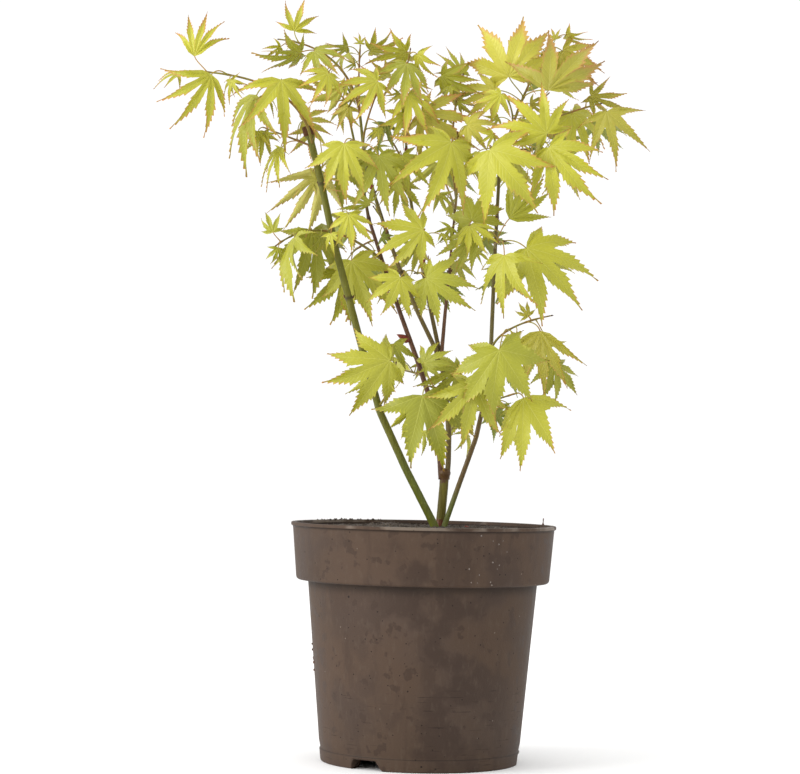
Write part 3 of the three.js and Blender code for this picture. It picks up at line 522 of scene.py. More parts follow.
@dataclass
class MeshParts:
    """Points, triangles, material numbers and pattern places, gathered piece by piece."""

    points: list[Array] = field(default_factory=list)
    triangles: list[Array] = field(default_factory=list)
    slots: list[Array] = field(default_factory=list)
    places: list[Array] = field(default_factory=list)
    count: int = 0

    def add(self, points: Array, faces: Array, slots: Array | int, places: Array) -> None:
        """Adds a surface.

        Args:
            points: Its points, in millimetres.
            faces: Three or four corners a face.
            slots: A material number for each face, or one for all.
            places: The pattern's values at each point: across, along and, on a leaf, the
                shares to the margin and the tip and the leaf's tone.
        """
        numbers = np.broadcast_to(np.asarray(slots), (len(faces),))
        if faces.shape[1] == 4:
            faces = np.concatenate([faces[:, [0, 1, 2]], faces[:, [0, 2, 3]]])
            numbers = np.concatenate([numbers, numbers])
        spots, merged = np.unique(np.round(points, 5), axis=0, return_inverse=True)
        joined = merged.reshape(-1)[faces]
        a, b, c = joined.T
        real = (a != b) & (b != c) & (c != a)
        self.points.append(spots)
        self.triangles.append(joined[real] + self.count)
        self.slots.append(numbers[real])
        self.places.append(places[faces[real]].reshape(-1, places.shape[-1]))
        self.count += len(spots)

    def add_turned(self, radius: Array, height: Array, turns: Array, along: Array) -> None:
        """Adds a surface turned about the upright axis.

        Args:
            radius: The radius of each point, rings by turns.
            height: Its height.
            turns: The angles of a ring's points, in radians.
            along: The pattern's place along.
        """
        points = np.stack([radius * np.cos(turns), radius * np.sin(turns), height], axis=-1)
        places = np.stack(np.broadcast_arrays(turns[None], along), axis=-1)
        quads = grid_quads(len(radius), len(turns), True)
        self.add(points.reshape(-1, 3), quads, 0, places.reshape(-1, 2))

    def make(self, name: str, materials: list[Material]) -> Piece:
        """Builds the object, smooth and at the origin.

        Args:
            name: The piece's name.
            materials: Its materials, in the order of their numbers.

        Returns:
            The object, riding on the plant's body.
        """
        points = np.concatenate(self.points) * MM
        triangles = np.concatenate(self.triangles)
        mesh = bpy.data.meshes.new(name)
        mesh.from_pydata(points.tolist(), [], triangles.tolist())
        for material in materials:
            mesh.materials.append(material)
        slots = np.concatenate(self.slots).astype(np.int32)
        mesh.polygons.foreach_set("material_index", slots)
        places = np.concatenate(self.places).astype(np.float32)
        layer = mesh.uv_layers.new(name="place")
        layer.data.foreach_set("uv", places[:, :2].ravel())
        if places.shape[1] > 2:
            layer = mesh.uv_layers.new(name="share")
            layer.data.foreach_set("uv", places[:, 2:4].ravel())
            tone = mesh.attributes.new("tone", "FLOAT", "CORNER")
            tone.data.foreach_set("value", places[:, 4])
        mesh.polygons.foreach_set("use_smooth", np.ones(len(triangles), dtype=bool))
        mesh.update()
        return put(name, mesh)


def link(name: str, data: bpy.types.ID) -> Piece:
    """A new object in the scene."""
    obj = bpy.data.objects.new(name, data)
    bpy.context.scene.collection.objects.link(obj)
    return obj


def put(name: str, mesh: bpy.types.Mesh) -> Piece:
    """Links a mesh as an object that rides on the plant's body."""
    obj = link(name, mesh)
    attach(obj, BODY)
    LOG.info("%s: %d faces", name, len(mesh.polygons))
    return obj


def tube_points(path: Array, radii: Array, turns: Array) -> Array:
    """Rings carried along a path, each lying across it.

    Args:
        path: The centres, one a ring.
        radii: The radius of each point, rings by turns.
        turns: The angles of a ring's points, in radians.

    Returns:
        The points as rings by turns by 3.
    """
    along = unit(np.gradient(path, axis=0))
    front = np.broadcast_to(np.array([0.0, -1.0, 0.0]), along.shape)
    across = unit(front - along * np.sum(front * along, axis=1, keepdims=True))
    over = np.cross(along, across)
    cos = np.cos(turns)[None, :, None]
    sin = np.sin(turns)[None, :, None]
    return path[:, None] + radii[..., None] * (cos * across[:, None] + sin * over[:, None])


def add_tube(
    parts: MeshParts, path: Array, radii: Array, sides: int, slot: Array | int, along: Array
) -> None:
    """Adds a tube with a rounded point at both ends.

    Args:
        parts: What it is added to.
        path: The centres of its rings.
        radii: One radius a ring, or one a point.
        sides: The points of a ring.
        slot: A material number for all, or one a ring.
        along: The pattern's place along, one a ring.
    """
    turns = round_turns(sides)
    full = radii if radii.ndim == 2 else np.repeat(radii[:, None], sides, axis=1)
    rings = tube_points(path, full, turns)
    ends = np.repeat(path[[0, -1], None], sides, axis=1)
    points = np.concatenate([ends[:1], rings, ends[1:]])
    rows = len(points)
    quads = grid_quads(rows, sides, True)
    across = np.broadcast_to(turns / (2 * math.pi), (rows, sides))
    up = np.concatenate([along[:1], along, along[-1:]])
    places = np.stack([across, np.broadcast_to(up[:, None], (rows, sides))], axis=-1)
    if isinstance(slot, np.ndarray):
        slot = np.repeat(np.concatenate([slot[:1], slot]), sides)
    parts.add(points.reshape(-1, 3), quads, slot, places.reshape(-1, 2))


# ------------------------ the growing rule
def foot_height(limb: Limb) -> float:
    """The height at which a limb's foot stands, on the soil or on the limb below it."""
    if limb.base == "soil":
        return SOIL_LEVEL + GAP
    below = LIMBS[limb.base]
    return foot_height(below) + below.rise + GAP


def limb_points(limb: Limb, shares: Array) -> Array:
    """The centre of a limb at shares of its rise.

    It steps aside by each internode's own lean, and drifts and climbs evenly.

    Args:
        limb: The limb.
        shares: Shares of its rise; below 0 it runs on straight down.

    Returns:
        One point for each share.
    """
    joints = len(limb.lean)
    step = limb.rise / joints
    passed = np.clip(shares[:, None] * joints - np.arange(joints), 0, 1)
    x = limb.foot[0] + passed @ (step * np.tan(np.radians(limb.lean)))
    y = limb.foot[1] + limb.drift * shares
    z = foot_height(limb) + limb.rise * shares
    return np.stack([x, y, z], axis=1)


def limb_point(limb: Limb, share: float) -> Array:
    """The centre of a limb at one share of its rise."""
    return limb_points(limb, np.array([share]))[0]


def twig_points(spray: Spray, shares: Array) -> Array:
    """Points of a twig: where it leaves the limb, plus its reach, bowed as a parabola."""
    start = limb_point(LIMBS[spray.limb], spray.at)
    part = shares[:, None]
    return start + part * np.array(spray.reach) + 4 * part * (1 - part) * np.array(spray.bow)


def twig_point(spray: Spray, share: float) -> Array:
    """One point of a twig."""
    return twig_points(spray, np.array([share]))[0]


def twig_radius(spray: Spray) -> float:
    """The radius of a twig where it leaves its limb: a longer twig is a thicker one."""
    return TWIG_RADIUS + TWIG_RADIUS_GAIN * float(np.linalg.norm(spray.reach))


@dataclass(frozen=True)
class Blade:
    """A leaf with what its seed settles, and the end of its stalk."""

    base: Array
    size: float
    bearing: float
    pitch: float
    roll: float
    spread: float
    lobes: int
    seed: float
    tint: Tint
    cut: Cut

    def axes(self) -> tuple[Array, Array, Array]:
        """The three directions of a blade: along it, aside and out of its upper face."""
        bearing = math.radians(self.bearing)
        pitch = math.radians(self.pitch)
        roll = math.radians(self.roll)
        flat = math.cos(pitch)
        along = np.array([math.cos(bearing) * flat, -math.sin(pitch), math.sin(bearing) * flat])
        out = unit(np.array([0.0, -1.0, 0.0]) + along * along[1])
        out = out * math.cos(roll) + np.cross(along, out) * math.sin(roll)
        return along, np.cross(out, along), out


def grown(spray: Spray, order: int) -> list[tuple[Leaf, Blade]]:
    """The blades of a spray, each with the row it comes from."""
    found = []
    for i, row in enumerate(spray.leaves):
        seed = SEED_STEP * order + i
        pitch = PITCH + PITCH_SWING * swing(seed + 0.3)
        roll = spray.facing + ROLL_SWING * swing(seed + 0.6)
        plain = spray.behind or row.size < SEVEN_LOBED_SIZE
        blade = Blade(
            base=twig_point(spray, row.on) + np.array(row.stalk),
            size=row.size,
            bearing=row.bearing,
            pitch=pitch if row.pitch is None else row.pitch,
            roll=roll if row.roll is None else row.roll,
            spread=SPREAD + SPREAD_SWING * swing(seed + 0.9),
            lobes=CUTS[row.form].lobes or (5 if plain else 7),
            seed=seed,
            tint=row.tint or spray.tint,
            cut=CUTS[row.form],
        )
        found.append((row, blade))
    return found


@dataclass(frozen=True)
class Shoots:
    """Young leaves on side shoots, each on a short stalk across the twig.

    A pair of numbers is a first value and how far the seed takes it from there.
    """

    first_seed: int = 100
    seed_step: int = 7
    lobes: int = 5
    on: Pair = (0.35, 0.6)
    aside: Pair = (7.0, 6.0)
    ahead: float = 3.0
    depth: float = 0.3
    size: Pair = (10.0, 9.0)
    back_gain: float = 5.0
    bearing: Pair = (-90.0, 70.0)
    pitch_swing: float = 15.0
    roll_swing: float = 60.0

    def grow(self, spray: Spray, order: int, count: int) -> list[tuple[Leaf, Blade]]:
        """The young leaves of a spray.

        Args:
            spray: The spray.
            order: Its number, which the seeds are drawn from.
            count: How many there are.

        Returns:
            Their rows and blades.
        """
        found = []
        along = unit(np.array(spray.reach, dtype=float))
        for i in range(count):
            seed = SEED_STEP * order + self.first_seed + self.seed_step * i
            on = self.on[0] + self.on[1] * chance(seed)
            turn = 2 * math.pi * chance(seed + 1)
            side = unit(np.cross(along, np.array([math.cos(turn), self.depth, math.sin(turn)])))
            stalk = side * (self.aside[0] + self.aside[1] * chance(seed + 2)) + along * self.ahead
            size = self.size[0] + (self.back_gain if spray.behind else 0)
            size += self.size[1] * chance(seed + 3)
            bearing = self.bearing[0] + self.bearing[1] * swing(seed + 4)
            blade = Blade(
                base=twig_point(spray, on) + stalk,
                size=size,
                bearing=bearing,
                pitch=self.pitch_swing * swing(seed + 5),
                roll=spray.facing + self.roll_swing * swing(seed + 6),
                spread=SPREAD,
                lobes=self.lobes,
                seed=seed,
                tint=spray.tint,
                cut=CUTS[Form.SLIM],
            )
            found.append((Leaf(on, tuple(stalk), size, bearing), blade))
        return found


# ------------------------ finishes
def colour(hexadecimal: str) -> Triple:
    """The linear values of a colour written as six hexadecimal digits."""
    shares = [int(hexadecimal[i : i + 2], 16) / 255 for i in (0, 2, 4)]
    return tuple(s / 12.92 if s < 0.04045 else ((s + 0.055) / 1.055) ** 2.4 for s in shares)


@dataclass
class Wiring:
    """A node tree being wired: a material's, or a shared group's."""

    tree: NodeTree

    def node(self, kind: str, **settings: object) -> Node:
        """Adds a node and sets its own settings."""
        made = self.tree.nodes.new(kind)
        for name, value in settings.items():
            setattr(made, name, value)
        return made

    def feed(self, socket: Socket, value: object) -> None:
        """Links an output to a socket, or sets the socket to a number or colour."""
        if isinstance(value, Socket):
            self.tree.links.new(value, socket)
        elif isinstance(value, tuple) and len(value) == 3 and socket.type == "RGBA":
            socket.default_value = (*value, 1.0)
        else:
            socket.default_value = value

    def fill(self, made: Node, values: dict[int | str, object]) -> Node:
        """Feeds a node's inputs, each told by its name or number."""
        for place, value in values.items():
            self.feed(made.inputs[place], value)
        return made

    def math(self, operation: str, *values: object) -> Socket:
        """The result of a sum on one to three values."""
        made = self.node("ShaderNodeMath", operation=operation)
        return self.fill(made, dict(enumerate(values))).outputs[0]

    def times(self, first: object, second: object) -> Socket:
        """The product of two values."""
        return self.math("MULTIPLY", first, second)

    def scaled(self, value: object, factor: object, start: object) -> Socket:
        """A value times a factor, plus a start."""
        return self.math("MULTIPLY_ADD", value, factor, start)

    def rest(self, share: object) -> Socket:
        """What a share leaves of 1."""
        return self.math("SUBTRACT", 1.0, share)

    def mix(self, share: object, first: object, second: object) -> Socket:
        """A colour between two."""
        made = self.node("ShaderNodeMix", data_type="RGBA")
        return self.fill(made, {0: share, 6: first, 7: second}).outputs[2]

    def ramp(self, value: object, low: object, high: object) -> Socket:
        """A value brought to 0 at low and 1 at high, and smooth between them."""
        made = self.node("ShaderNodeMapRange", interpolation_type="SMOOTHSTEP")
        return self.fill(made, {0: value, 1: low, 2: high, 3: 0.0, 4: 1.0}).outputs[0]

    def parted(self, vector: Socket) -> list[Socket]:
        """The three parts of a vector."""
        return list(self.fill(self.node("ShaderNodeSeparateXYZ"), {0: vector}).outputs)

    def place(self, kind: str = "Object") -> list[Socket]:
        """The parts of the piece's own coordinates, or of its first map where kind is UV."""
        return self.parted(self.node("ShaderNodeTexCoord").outputs[kind])

    def mapped(self, name: str) -> list[Socket]:
        """The parts of one of the piece's maps."""
        return self.parted(self.node("ShaderNodeUVMap", uv_map=name).outputs[0])

    def lay(self, base: object, mask: object, share: object, tint: str) -> Socket:
        """A colour laid over another, as far as a mask and a share let it."""
        return self.mix(self.times(mask, share), base, colour(tint))

    def line(self, value: object, width: object) -> Socket:
        """A mask that is 1 where a value is whole and falls to 0 at a width from there."""
        offset = self.math("PINGPONG", value, 0.5)
        return self.rest(self.ramp(offset, 0.0, width))

    def group(self, shared: NodeTree, **values: object) -> Socket:
        """Places a shared effect with its own values and gives its first output."""
        return self.fill(self.node("ShaderNodeGroup", node_tree=shared), values).outputs[0]

    def mottle(
        self, scale: float, detail: float, low: float, high: float, stretch: float = 1.0
    ) -> Socket:
        """The shared soft patches: how fine they are, and where they begin and are full."""
        return self.group(MOTTLE, Scale=scale, Detail=detail, Stretch=stretch, Low=low, High=high)

    def specks(self, scale: float, share: float, size: float) -> Socket:
        """The shared specks: cells a metre, the share of them that has one, and its size."""
        return self.group(SPECKS, Scale=scale, Share=share, Size=size)


def shared_group(name: str, inputs: dict[str, float]) -> tuple[NodeTree, Wiring]:
    """Starts a shared effect that puts out one mask.

    Args:
        name: The group's name.
        inputs: Its inputs, each with its plain value.

    Returns:
        The group and its wiring, which holds its own inputs as entry and its output as exit.
    """
    tree = bpy.data.node_groups.new(name, "ShaderNodeTree")
    for label, value in inputs.items():
        socket = tree.interface.new_socket(label, in_out="INPUT", socket_type="NodeSocketFloat")
        socket.default_value = value
    tree.interface.new_socket("Mask", in_out="OUTPUT", socket_type="NodeSocketFloat")
    wiring = Wiring(tree)
    wiring.entry = wiring.node("NodeGroupInput").outputs
    wiring.exit = wiring.node("NodeGroupOutput").inputs[0]
    return tree, wiring


def mottle_group() -> NodeTree:
    """Soft patches: noise on the piece's own coordinates, drawn out upright by Stretch."""
    plain = {"Scale": 100, "Detail": 4, "Stretch": 1, "Low": 0.4, "High": 0.6}
    tree, w = shared_group("mottle", plain)
    place = w.node("ShaderNodeTexCoord").outputs["Object"]
    upright = {0: 1.0, 1: 1.0, 2: w.math("DIVIDE", 1.0, w.entry["Stretch"])}
    upright = w.fill(w.node("ShaderNodeCombineXYZ"), upright).outputs[0]
    drawn = w.node("ShaderNodeVectorMath", operation="MULTIPLY")
    drawn = w.fill(drawn, {0: place, 1: upright}).outputs[0]
    values = {"Vector": drawn, "Scale": w.entry["Scale"], "Detail": w.entry["Detail"]}
    noise = w.fill(w.node("ShaderNodeTexNoise"), values).outputs[0]
    w.feed(w.exit, w.ramp(noise, w.entry["Low"], w.entry["High"]))
    return tree


def speck_group() -> NodeTree:
    """Scattered specks: cells whose seed is under Share, each a dot of Size cells."""
    tree, w = shared_group("specks", {"Scale": 300, "Share": 0.2, "Size": 0.2})
    place = w.node("ShaderNodeTexCoord").outputs["Object"]
    values = {"Vector": place, "Scale": w.entry["Scale"]}
    cells = w.fill(w.node("ShaderNodeTexVoronoi"), values)
    near = w.math("LESS_THAN", cells.outputs["Distance"], w.entry["Size"])
    parted = w.fill(w.node("ShaderNodeSeparateColor"), {0: cells.outputs["Color"]})
    chosen = w.math("LESS_THAN", parted.outputs[0], w.entry["Share"])
    w.feed(w.exit, w.times(near, chosen))
    return tree


def ring_group() -> NodeTree:
    """Rings round a limb where its own place along reaches a whole number of joints."""
    tree, w = shared_group("joint_rings", {"Width": 0.05})
    w.feed(w.exit, w.line(w.place("UV")[1], w.entry["Width"]))
    return tree


def side_rib_group() -> NodeTree:
    """Side ribs of a lobe: slanted lines a Pitch apart, leaving the middle rib forwards."""
    tree, w = shared_group("side_ribs", {"Pitch": 0.35, "Slant": 1.1, "Width": 0.2})
    place = w.place("UV")
    aside = w.times(w.math("ABSOLUTE", place[0]), w.entry["Slant"])
    turns = w.math("DIVIDE", w.math("SUBTRACT", place[1], aside), w.entry["Pitch"])
    w.feed(w.exit, w.line(turns, w.entry["Width"]))
    return tree


MOTTLE = mottle_group()
SPECKS = speck_group()
RINGS = ring_group()
SIDE_RIBS = side_rib_group()


def start_material(name: str) -> tuple[Material, Wiring, Node]:
    """A new material, its wiring and its shader."""
    material = bpy.data.materials.new(name)
    material.use_nodes = True
    wiring = Wiring(material.node_tree)
    shader = material.node_tree.nodes["Principled BSDF"]
    return material, wiring, shader


def dress(w: Wiring, shader: Node, base: object, rough: object, gloss: float = 0.5) -> None:
    """Feeds the shader its colour, its roughness and how strongly it mirrors."""
    w.fill(shader, {"Base Color": base, "Roughness": rough, "Specular IOR Level": gloss})


def add_bump(w: Wiring, shader: Node, height: object, strength: float, depth: float) -> None:
    """Feeds a height into the shader's normal.

    Args:
        w: The material's wiring.
        shader: Its shader.
        height: The height, from 0 to 1.
        strength: How much of the bump is used.
        depth: What a height of 1 stands for, in metres.
    """
    values = {"Strength": strength, "Distance": depth, "Height": height}
    bump = w.fill(w.node("ShaderNodeBump"), values).outputs[0]
    w.feed(shader.inputs["Normal"], bump)


@dataclass(frozen=True)
class LeafFinish:
    """The colours of one tint of leaf, and how far its blush reaches.

    The blush comes in from the tip and the margin, more so high in the crown. blush_from
    is the share of a lobe past which it begins.
    """

    blade: str
    shade: str
    rib: str
    under: str
    blush: str
    blush_from: float
    blush_most: float

    def blushed(self, w: Wiring) -> Socket:
        """How far the blush covers a place, from its shares to the margin and the tip."""
        to_margin, to_tip = w.mapped("share")[:2]
        edge = w.times(w.math("POWER", to_margin, 3), 0.75)
        height = w.times(w.ramp(w.place()[2], 0.36, 0.52), 0.38)
        uneven = w.times(w.mottle(60, 3, 0.3, 0.7), 0.25)
        reach = w.math("ADD", w.math("ADD", to_tip, edge), w.math("ADD", height, uneven))
        covered = w.ramp(reach, self.blush_from, self.blush_from + 0.6)
        return w.times(covered, self.blush_most)

    def middle_rib(self, w: Wiring) -> Socket:
        """The middle rib of a lobe: a line that narrows towards the tip."""
        width = w.scaled(w.mapped("share")[1], -0.03, 0.045)
        offset = w.math("DIVIDE", w.math("ABSOLUTE", w.mapped("place")[0]), width)
        return w.rest(w.ramp(offset, 0.3, 1.0))

    def surface(self, name: str, main: str, shade: str, ribbed: float) -> Material:
        """One face of the leaf.

        Args:
            name: The material's name.
            main: Its colour.
            shade: The colour of its soft patches.
            ribbed: How strongly the ribs show.

        Returns:
            A soft-lit material with patches, fine mottling, ribs and a blush.
        """
        material, w, shader = start_material(name)
        tone = w.node("ShaderNodeAttribute", attribute_name="tone").outputs["Fac"]
        patches = w.mottle(28, 2, 0.35, 0.65)
        grain = w.mottle(420, 3, 0.3, 0.75)
        ribs = w.group(SIDE_RIBS, Pitch=0.36, Slant=1.3, Width=0.2)
        middle = self.middle_rib(w)
        low = w.math("SUBTRACT", 0.45, w.times(w.ramp(w.place()[2], 0.26, 0.4), 0.45))
        dull = w.scaled(patches, 0.3, w.times(tone, 0.6))
        dull = w.math("MINIMUM", w.math("ADD", dull, low), 1.0)
        base = w.mix(dull, colour(main), colour(shade))
        base = w.lay(base, grain, 0.14, shade)
        base = w.mix(self.blushed(w), base, colour(self.blush))
        base = w.lay(base, ribs, 0.2 * ribbed, self.rib)
        base = w.lay(base, middle, 0.55 * ribbed, self.rib)
        dress(w, shader, base, w.scaled(grain, 0.12, 0.42), 0.45)
        veins = w.math("MAXIMUM", w.times(ribs, 0.6), middle)
        height = w.scaled(veins, -ribbed, w.times(grain, 0.4))
        add_bump(w, shader, height, 0.5, 0.0004)
        return material

    def materials(self, name: str) -> list[Material]:
        """The upper face's and the underside's materials, in slot order."""
        return [
            self.surface(f"{name}_upper", self.blade, self.shade, 1.0),
            self.surface(f"{name}_under", self.under, self.blade, 0.8),
        ]


LEAF_FINISHES: dict[Tint, LeafFinish] = {
    YELLOW: LeafFinish("c0ba40", "b0aa34", "c8c25a", "beb85a", "c0864a", 0.98, 0.75),
    LIME: LeafFinish("b3b026", "9c9b26", "bcba50", "b0ae52", "b97840", 0.97, 0.85),
    GREEN: LeafFinish("a3a222", "87891f", "adad46", "a3a24e", "ae7a3e", 1.02, 0.8),
    # Painted shade: the darker green of leaves at the back and inside the crown.
    DEEP_SHADE: LeafFinish("7c8426", "5e681e", "8a9038", "868c46", "96803c", 1.15, 0.55),
    GOLD: LeafFinish("b2ac34", "9d962c", "bcb44e", "b2ac5a", "b87442", 0.92, 0.85),
    BRONZE: LeafFinish("a8a132", "8c882a", "b2aa4a", "aaa456", "b07a40", 0.95, 0.8),
}


@dataclass(frozen=True)
class Band:
    """A band of another colour round a stem, between two heights in millimetres."""

    tint: str
    low: float
    high: float
    fade: float = 3.0


@dataclass(frozen=True)
class StemFinish:
    """Bark: its colour, its patches, its joints, its bands and how rough it is."""

    name: str
    main: str
    patch: str
    joint: str
    fleck: str
    roughness: float
    ring: float = 0.06
    relief: float = 0.5
    bands: tuple[Band, ...] = ()

    def banded(self, w: Wiring, base: Socket) -> Socket:
        """The colour with the bands laid over it, each with an uneven soft edge."""
        uneven = w.mottle(500, 2, 0.2, 0.8)
        height = w.scaled(uneven, 0.004, w.place()[2])
        for band in self.bands:
            low = w.ramp(height, (band.low - band.fade) * MM, band.low * MM)
            high = w.ramp(height, band.high * MM, (band.high + band.fade) * MM)
            inside = w.times(low, w.rest(high))
            base = w.mix(inside, base, colour(band.tint))
        return base

    def material(self) -> Material:
        """Bark with upright streaks, darker rings at its joints and pale flecks."""
        material, w, shader = start_material(self.name)
        patches = w.mottle(90, 4, 0.4, 0.62, 4)
        streaks = w.mottle(900, 3, 0.35, 0.7, 12)
        flecks = w.specks(520, 0.22, 0.3)
        base = w.mix(patches, colour(self.main), colour(self.patch))
        base = self.banded(w, base)
        base = w.lay(base, streaks, 0.3, self.joint)
        if self.ring:
            base = w.lay(base, w.group(RINGS, Width=self.ring), 0.8, self.joint)
        base = w.lay(base, flecks, 0.35, self.fleck)
        rough = w.scaled(streaks, 0.25, self.roughness - 0.1)
        dress(w, shader, base, rough, 0.3)
        height = w.math("ADD", w.times(streaks, 0.6), w.times(flecks, 0.5))
        add_bump(w, shader, height, self.relief, 0.0003)
        return material


YOUNG_TOP = Band("6e6a24", 425, 700, 40)
CANE = StemFinish(
    "green_cane", "5b5c10", "656414", "3a2f14", "7c8038", 0.5,
    bands=(Band("5a6016", 150, 200, 40), Band("4b3a1c", 373, 376, 2)),
)
TRUNK = StemFinish(
    "olive_trunk", "5e560d", "696012", "3c2c12", "7d7838", 0.5, ring=0.0,
    bands=(Band("6b3420", 150, 173, 4), Band("553a1c", 203, 240, 2)),
)
STEM = StemFinish(
    "olive_stem", "5b4822", "665028", "33210f", "81703f", 0.5, 0.05,
    bands=(Band("5b6222", 150, 182, 24), Band("62582a", 290, 700, 60)),
)
OLIVE_BARK = StemFinish(
    "olive_bark", "5c4e24", "66582a", "33240f", "81744a", 0.5, 0.05, bands=(YOUNG_TOP,),
)
BROWN_BARK = StemFinish(
    "brown_bark", "573a26", "664530", "301d12", "836650", 0.55, 0.05, bands=(YOUNG_TOP,),
)
YOUNG_BARK = StemFinish("young_bark", "7c7428", "84602e", "5f4520", "948c44", 0.5, 0.0)
STALK = StemFinish("stalk", "9a9430", "a6803c", "8a6c34", "b0a850", 0.5, 0.0)
BUD = StemFinish("bud", "4f3220", "5f3a26", "2e1a12", "6e4c34", 0.5, 0.0)
RED_BUD = StemFinish("red_bud", "6a2418", "7c3222", "38140e", "8a4a38", 0.45, 0.0)
CALLUS = StemFinish("callus", "503018", "603c22", "26150c", "7c5c3c", 0.85, 0.0, 1.0)


# ------------------------ leaves
@dataclass(frozen=True)
class Lobes:
    """The lobes of one blade, from side to side, and the lines that part them.

    lines holds, for the line before each lobe and the one after the last, its angle, its
    notch's distance from the centre, and the length and droop of the lobes beside it.
    """

    angles: Array
    lengths: Array
    droops: Array
    widths: Array
    lines: Array

    @property
    def axis(self) -> Array:
        """The direction of each lobe."""
        return np.stack([np.cos(self.angles), np.sin(self.angles)], axis=1)

    @property
    def aside(self) -> Array:
        """The direction across each lobe."""
        return np.stack([-np.sin(self.angles), np.cos(self.angles)], axis=1)


@dataclass
class Foliage:
    """Every leaf of the plant, joined tint by tint.

    A blade is an array of lobes by rows by columns. Rows run from its centre to a lobe's
    tip and columns cross the lobe. Up to the notch the edges lie on the lines half-way to
    the next lobes; from there the lobe widens to its shoulder and runs out to the tip,
    with teeth that point forwards. Leaves high in the crown are younger: slimmer and more
    deeply cut. A swing is how far the seed moves a value, as a share of it.
    """

    columns: tuple[float, ...] = (-1.0, -0.5, 0.0, 0.5, 1.0)
    joined_rows: int = 3
    toothed_rows: int = 18
    notch: float = 0.33
    notch_swing: float = 0.2
    deeper: float = 0.13
    half_width: float = 0.113
    width_swing: float = 0.12
    length_swing: float = 0.08
    turn_swing: float = 4.0
    slimmer: float = 0.14
    young_from: Pair = (360.0, 440.0)
    outer_share: float = 0.9
    outer_turn: float = 24.0
    outer_notch: float = 0.2
    shoulder: float = 0.36
    taper: float = 1.3
    tooth: float = 0.125
    tooth_dip: float = 0.55
    tooth_span: Pair = (0.2, 1.8)
    tooth_from: float = 0.1
    tooth_onset: float = 6.0
    tooth_forward: float = 0.9
    arch: float = 0.26
    droop: float = 0.16
    droop_span: Pair = (0.4, 1.2)
    lean_back: float = 0.42
    side_angle: float = 112.0
    sag: float = 0.23
    upright_loss: float = 0.7
    limp: Pair = (0.7, 0.3)
    cupping: float = 0.03
    fold: float = 0.26
    puff: float = 0.08
    sweep: float = 0.13
    wave: float = 0.16
    wave_turns: float = 9.0
    twist: float = 0.75
    twist_onset: float = 1.4
    thickness: float = 0.3
    pattern_unit: float = 10.0
    sharp: float = 60.0
    front_shoots: int = 1
    top_shoots: int = 3
    top_from: float = 425.0
    back_shoots: int = 2

    def lobes(self, blade: Blade) -> Lobes:
        """The lobes of a blade and the lines half-way between them."""
        side = (blade.lobes - 1) // 2
        low, high = self.young_from
        young = float(smooth((blade.base[2] - low) / (high - low)))
        broad = self.half_width * (1 - self.slimmer * young)
        broad = broad * (1 + self.width_swing * swing(blade.seed + 0.4)) * blade.cut.width
        angles, lengths, droops, widths = [], [], [], []
        for i in range(-side, side + 1):
            rank = abs(i)
            uneven = 1 + self.length_swing * swing(blade.seed + 5 * i + 1) * min(1, rank)
            length = blade.size * LOBE_REACH[blade.lobes][rank] ** blade.cut.even * uneven
            turn = float(np.sign(i)) * LOBE_TURN[blade.lobes][rank] * blade.spread
            turn = turn * blade.cut.turn[1 if i > 0 else 0]
            angles.append(math.radians(turn + self.turn_swing * swing(blade.seed + 3 * i)))
            lengths.append(length)
            least, more = self.droop_span
            droops.append(self.droop * (least + more * chance(blade.seed + 7 * i + 2)))
            outer = self.outer_share if rank == side else 1.0
            widths.append(broad * length**0.75 * blade.size**0.25 * outer)
        angles, lengths, droops = np.array(angles), np.array(lengths), np.array(droops)
        cut_in = self.notch * (1 - self.deeper * young) * blade.cut.notch
        cut_in = cut_in * (1 + self.notch_swing * swing(blade.seed + 0.8))
        shared = (lengths[1:] + lengths[:-1]) / 2
        ends = self.outer_notch * lengths[[0, -1]]
        turn = math.radians(self.outer_turn)
        between = (
            ([angles[0] - turn], (angles[1:] + angles[:-1]) / 2, [angles[-1] + turn]),
            (ends[:1], cut_in * np.sqrt(blade.size * shared), ends[1:]),
            (lengths[:1], shared, lengths[-1:]),
            (droops[:1], (droops[1:] + droops[:-1]) / 2, droops[-1:]),
        )
        lines = np.stack([np.concatenate(row) for row in between])
        return Lobes(angles, lengths, droops, np.array(widths), lines)

    def rise(self, angle: Array, length: Array, droop: Array, share: Array) -> Array:
        """How far a line from a blade's centre stands out: it arches, then droops.

        Args:
            angle: Its angle from the middle lobe; it leans back the more it turns aside.
            length: The length of its lobe.
            droop: How far its end hangs, as a share of that length.
            share: Where on the line, as a share of that length.

        Returns:
            The rise, in the unit of the length.
        """
        back = self.lean_back * (angle / math.radians(self.side_angle)) ** 2
        return length * ((self.arch - back) * share - (self.arch + droop) * share**2)

    def ribs(self, lobes: Lobes, inner: Array, outer: Array) -> tuple[Array, Array]:
        """The middle ribs of a blade's lobes.

        Args:
            lobes: The lobes.
            inner: Each row's share of the way to the notch.
            outer: Each row's share of the way from there to the tip.

        Returns:
            How far out each row is, and the ribs' points (along, aside, rise).
        """
        low, high = lobes.lines[:, :-1], lobes.lines[:, 1:]
        notch = low[1] * np.cos(low[0] - lobes.angles) + high[1] * np.cos(high[0] - lobes.angles)
        notch, length = notch[:, None] / 2, lobes.lengths[:, None]
        reach = np.where(outer[None] > 0, notch + (length - notch) * outer, notch * inner)
        rise = self.rise(lobes.angles[:, None], length, lobes.droops[:, None], reach / length)
        return reach, np.concatenate([reach[..., None] * lobes.axis[:, None], rise[..., None]], -1)

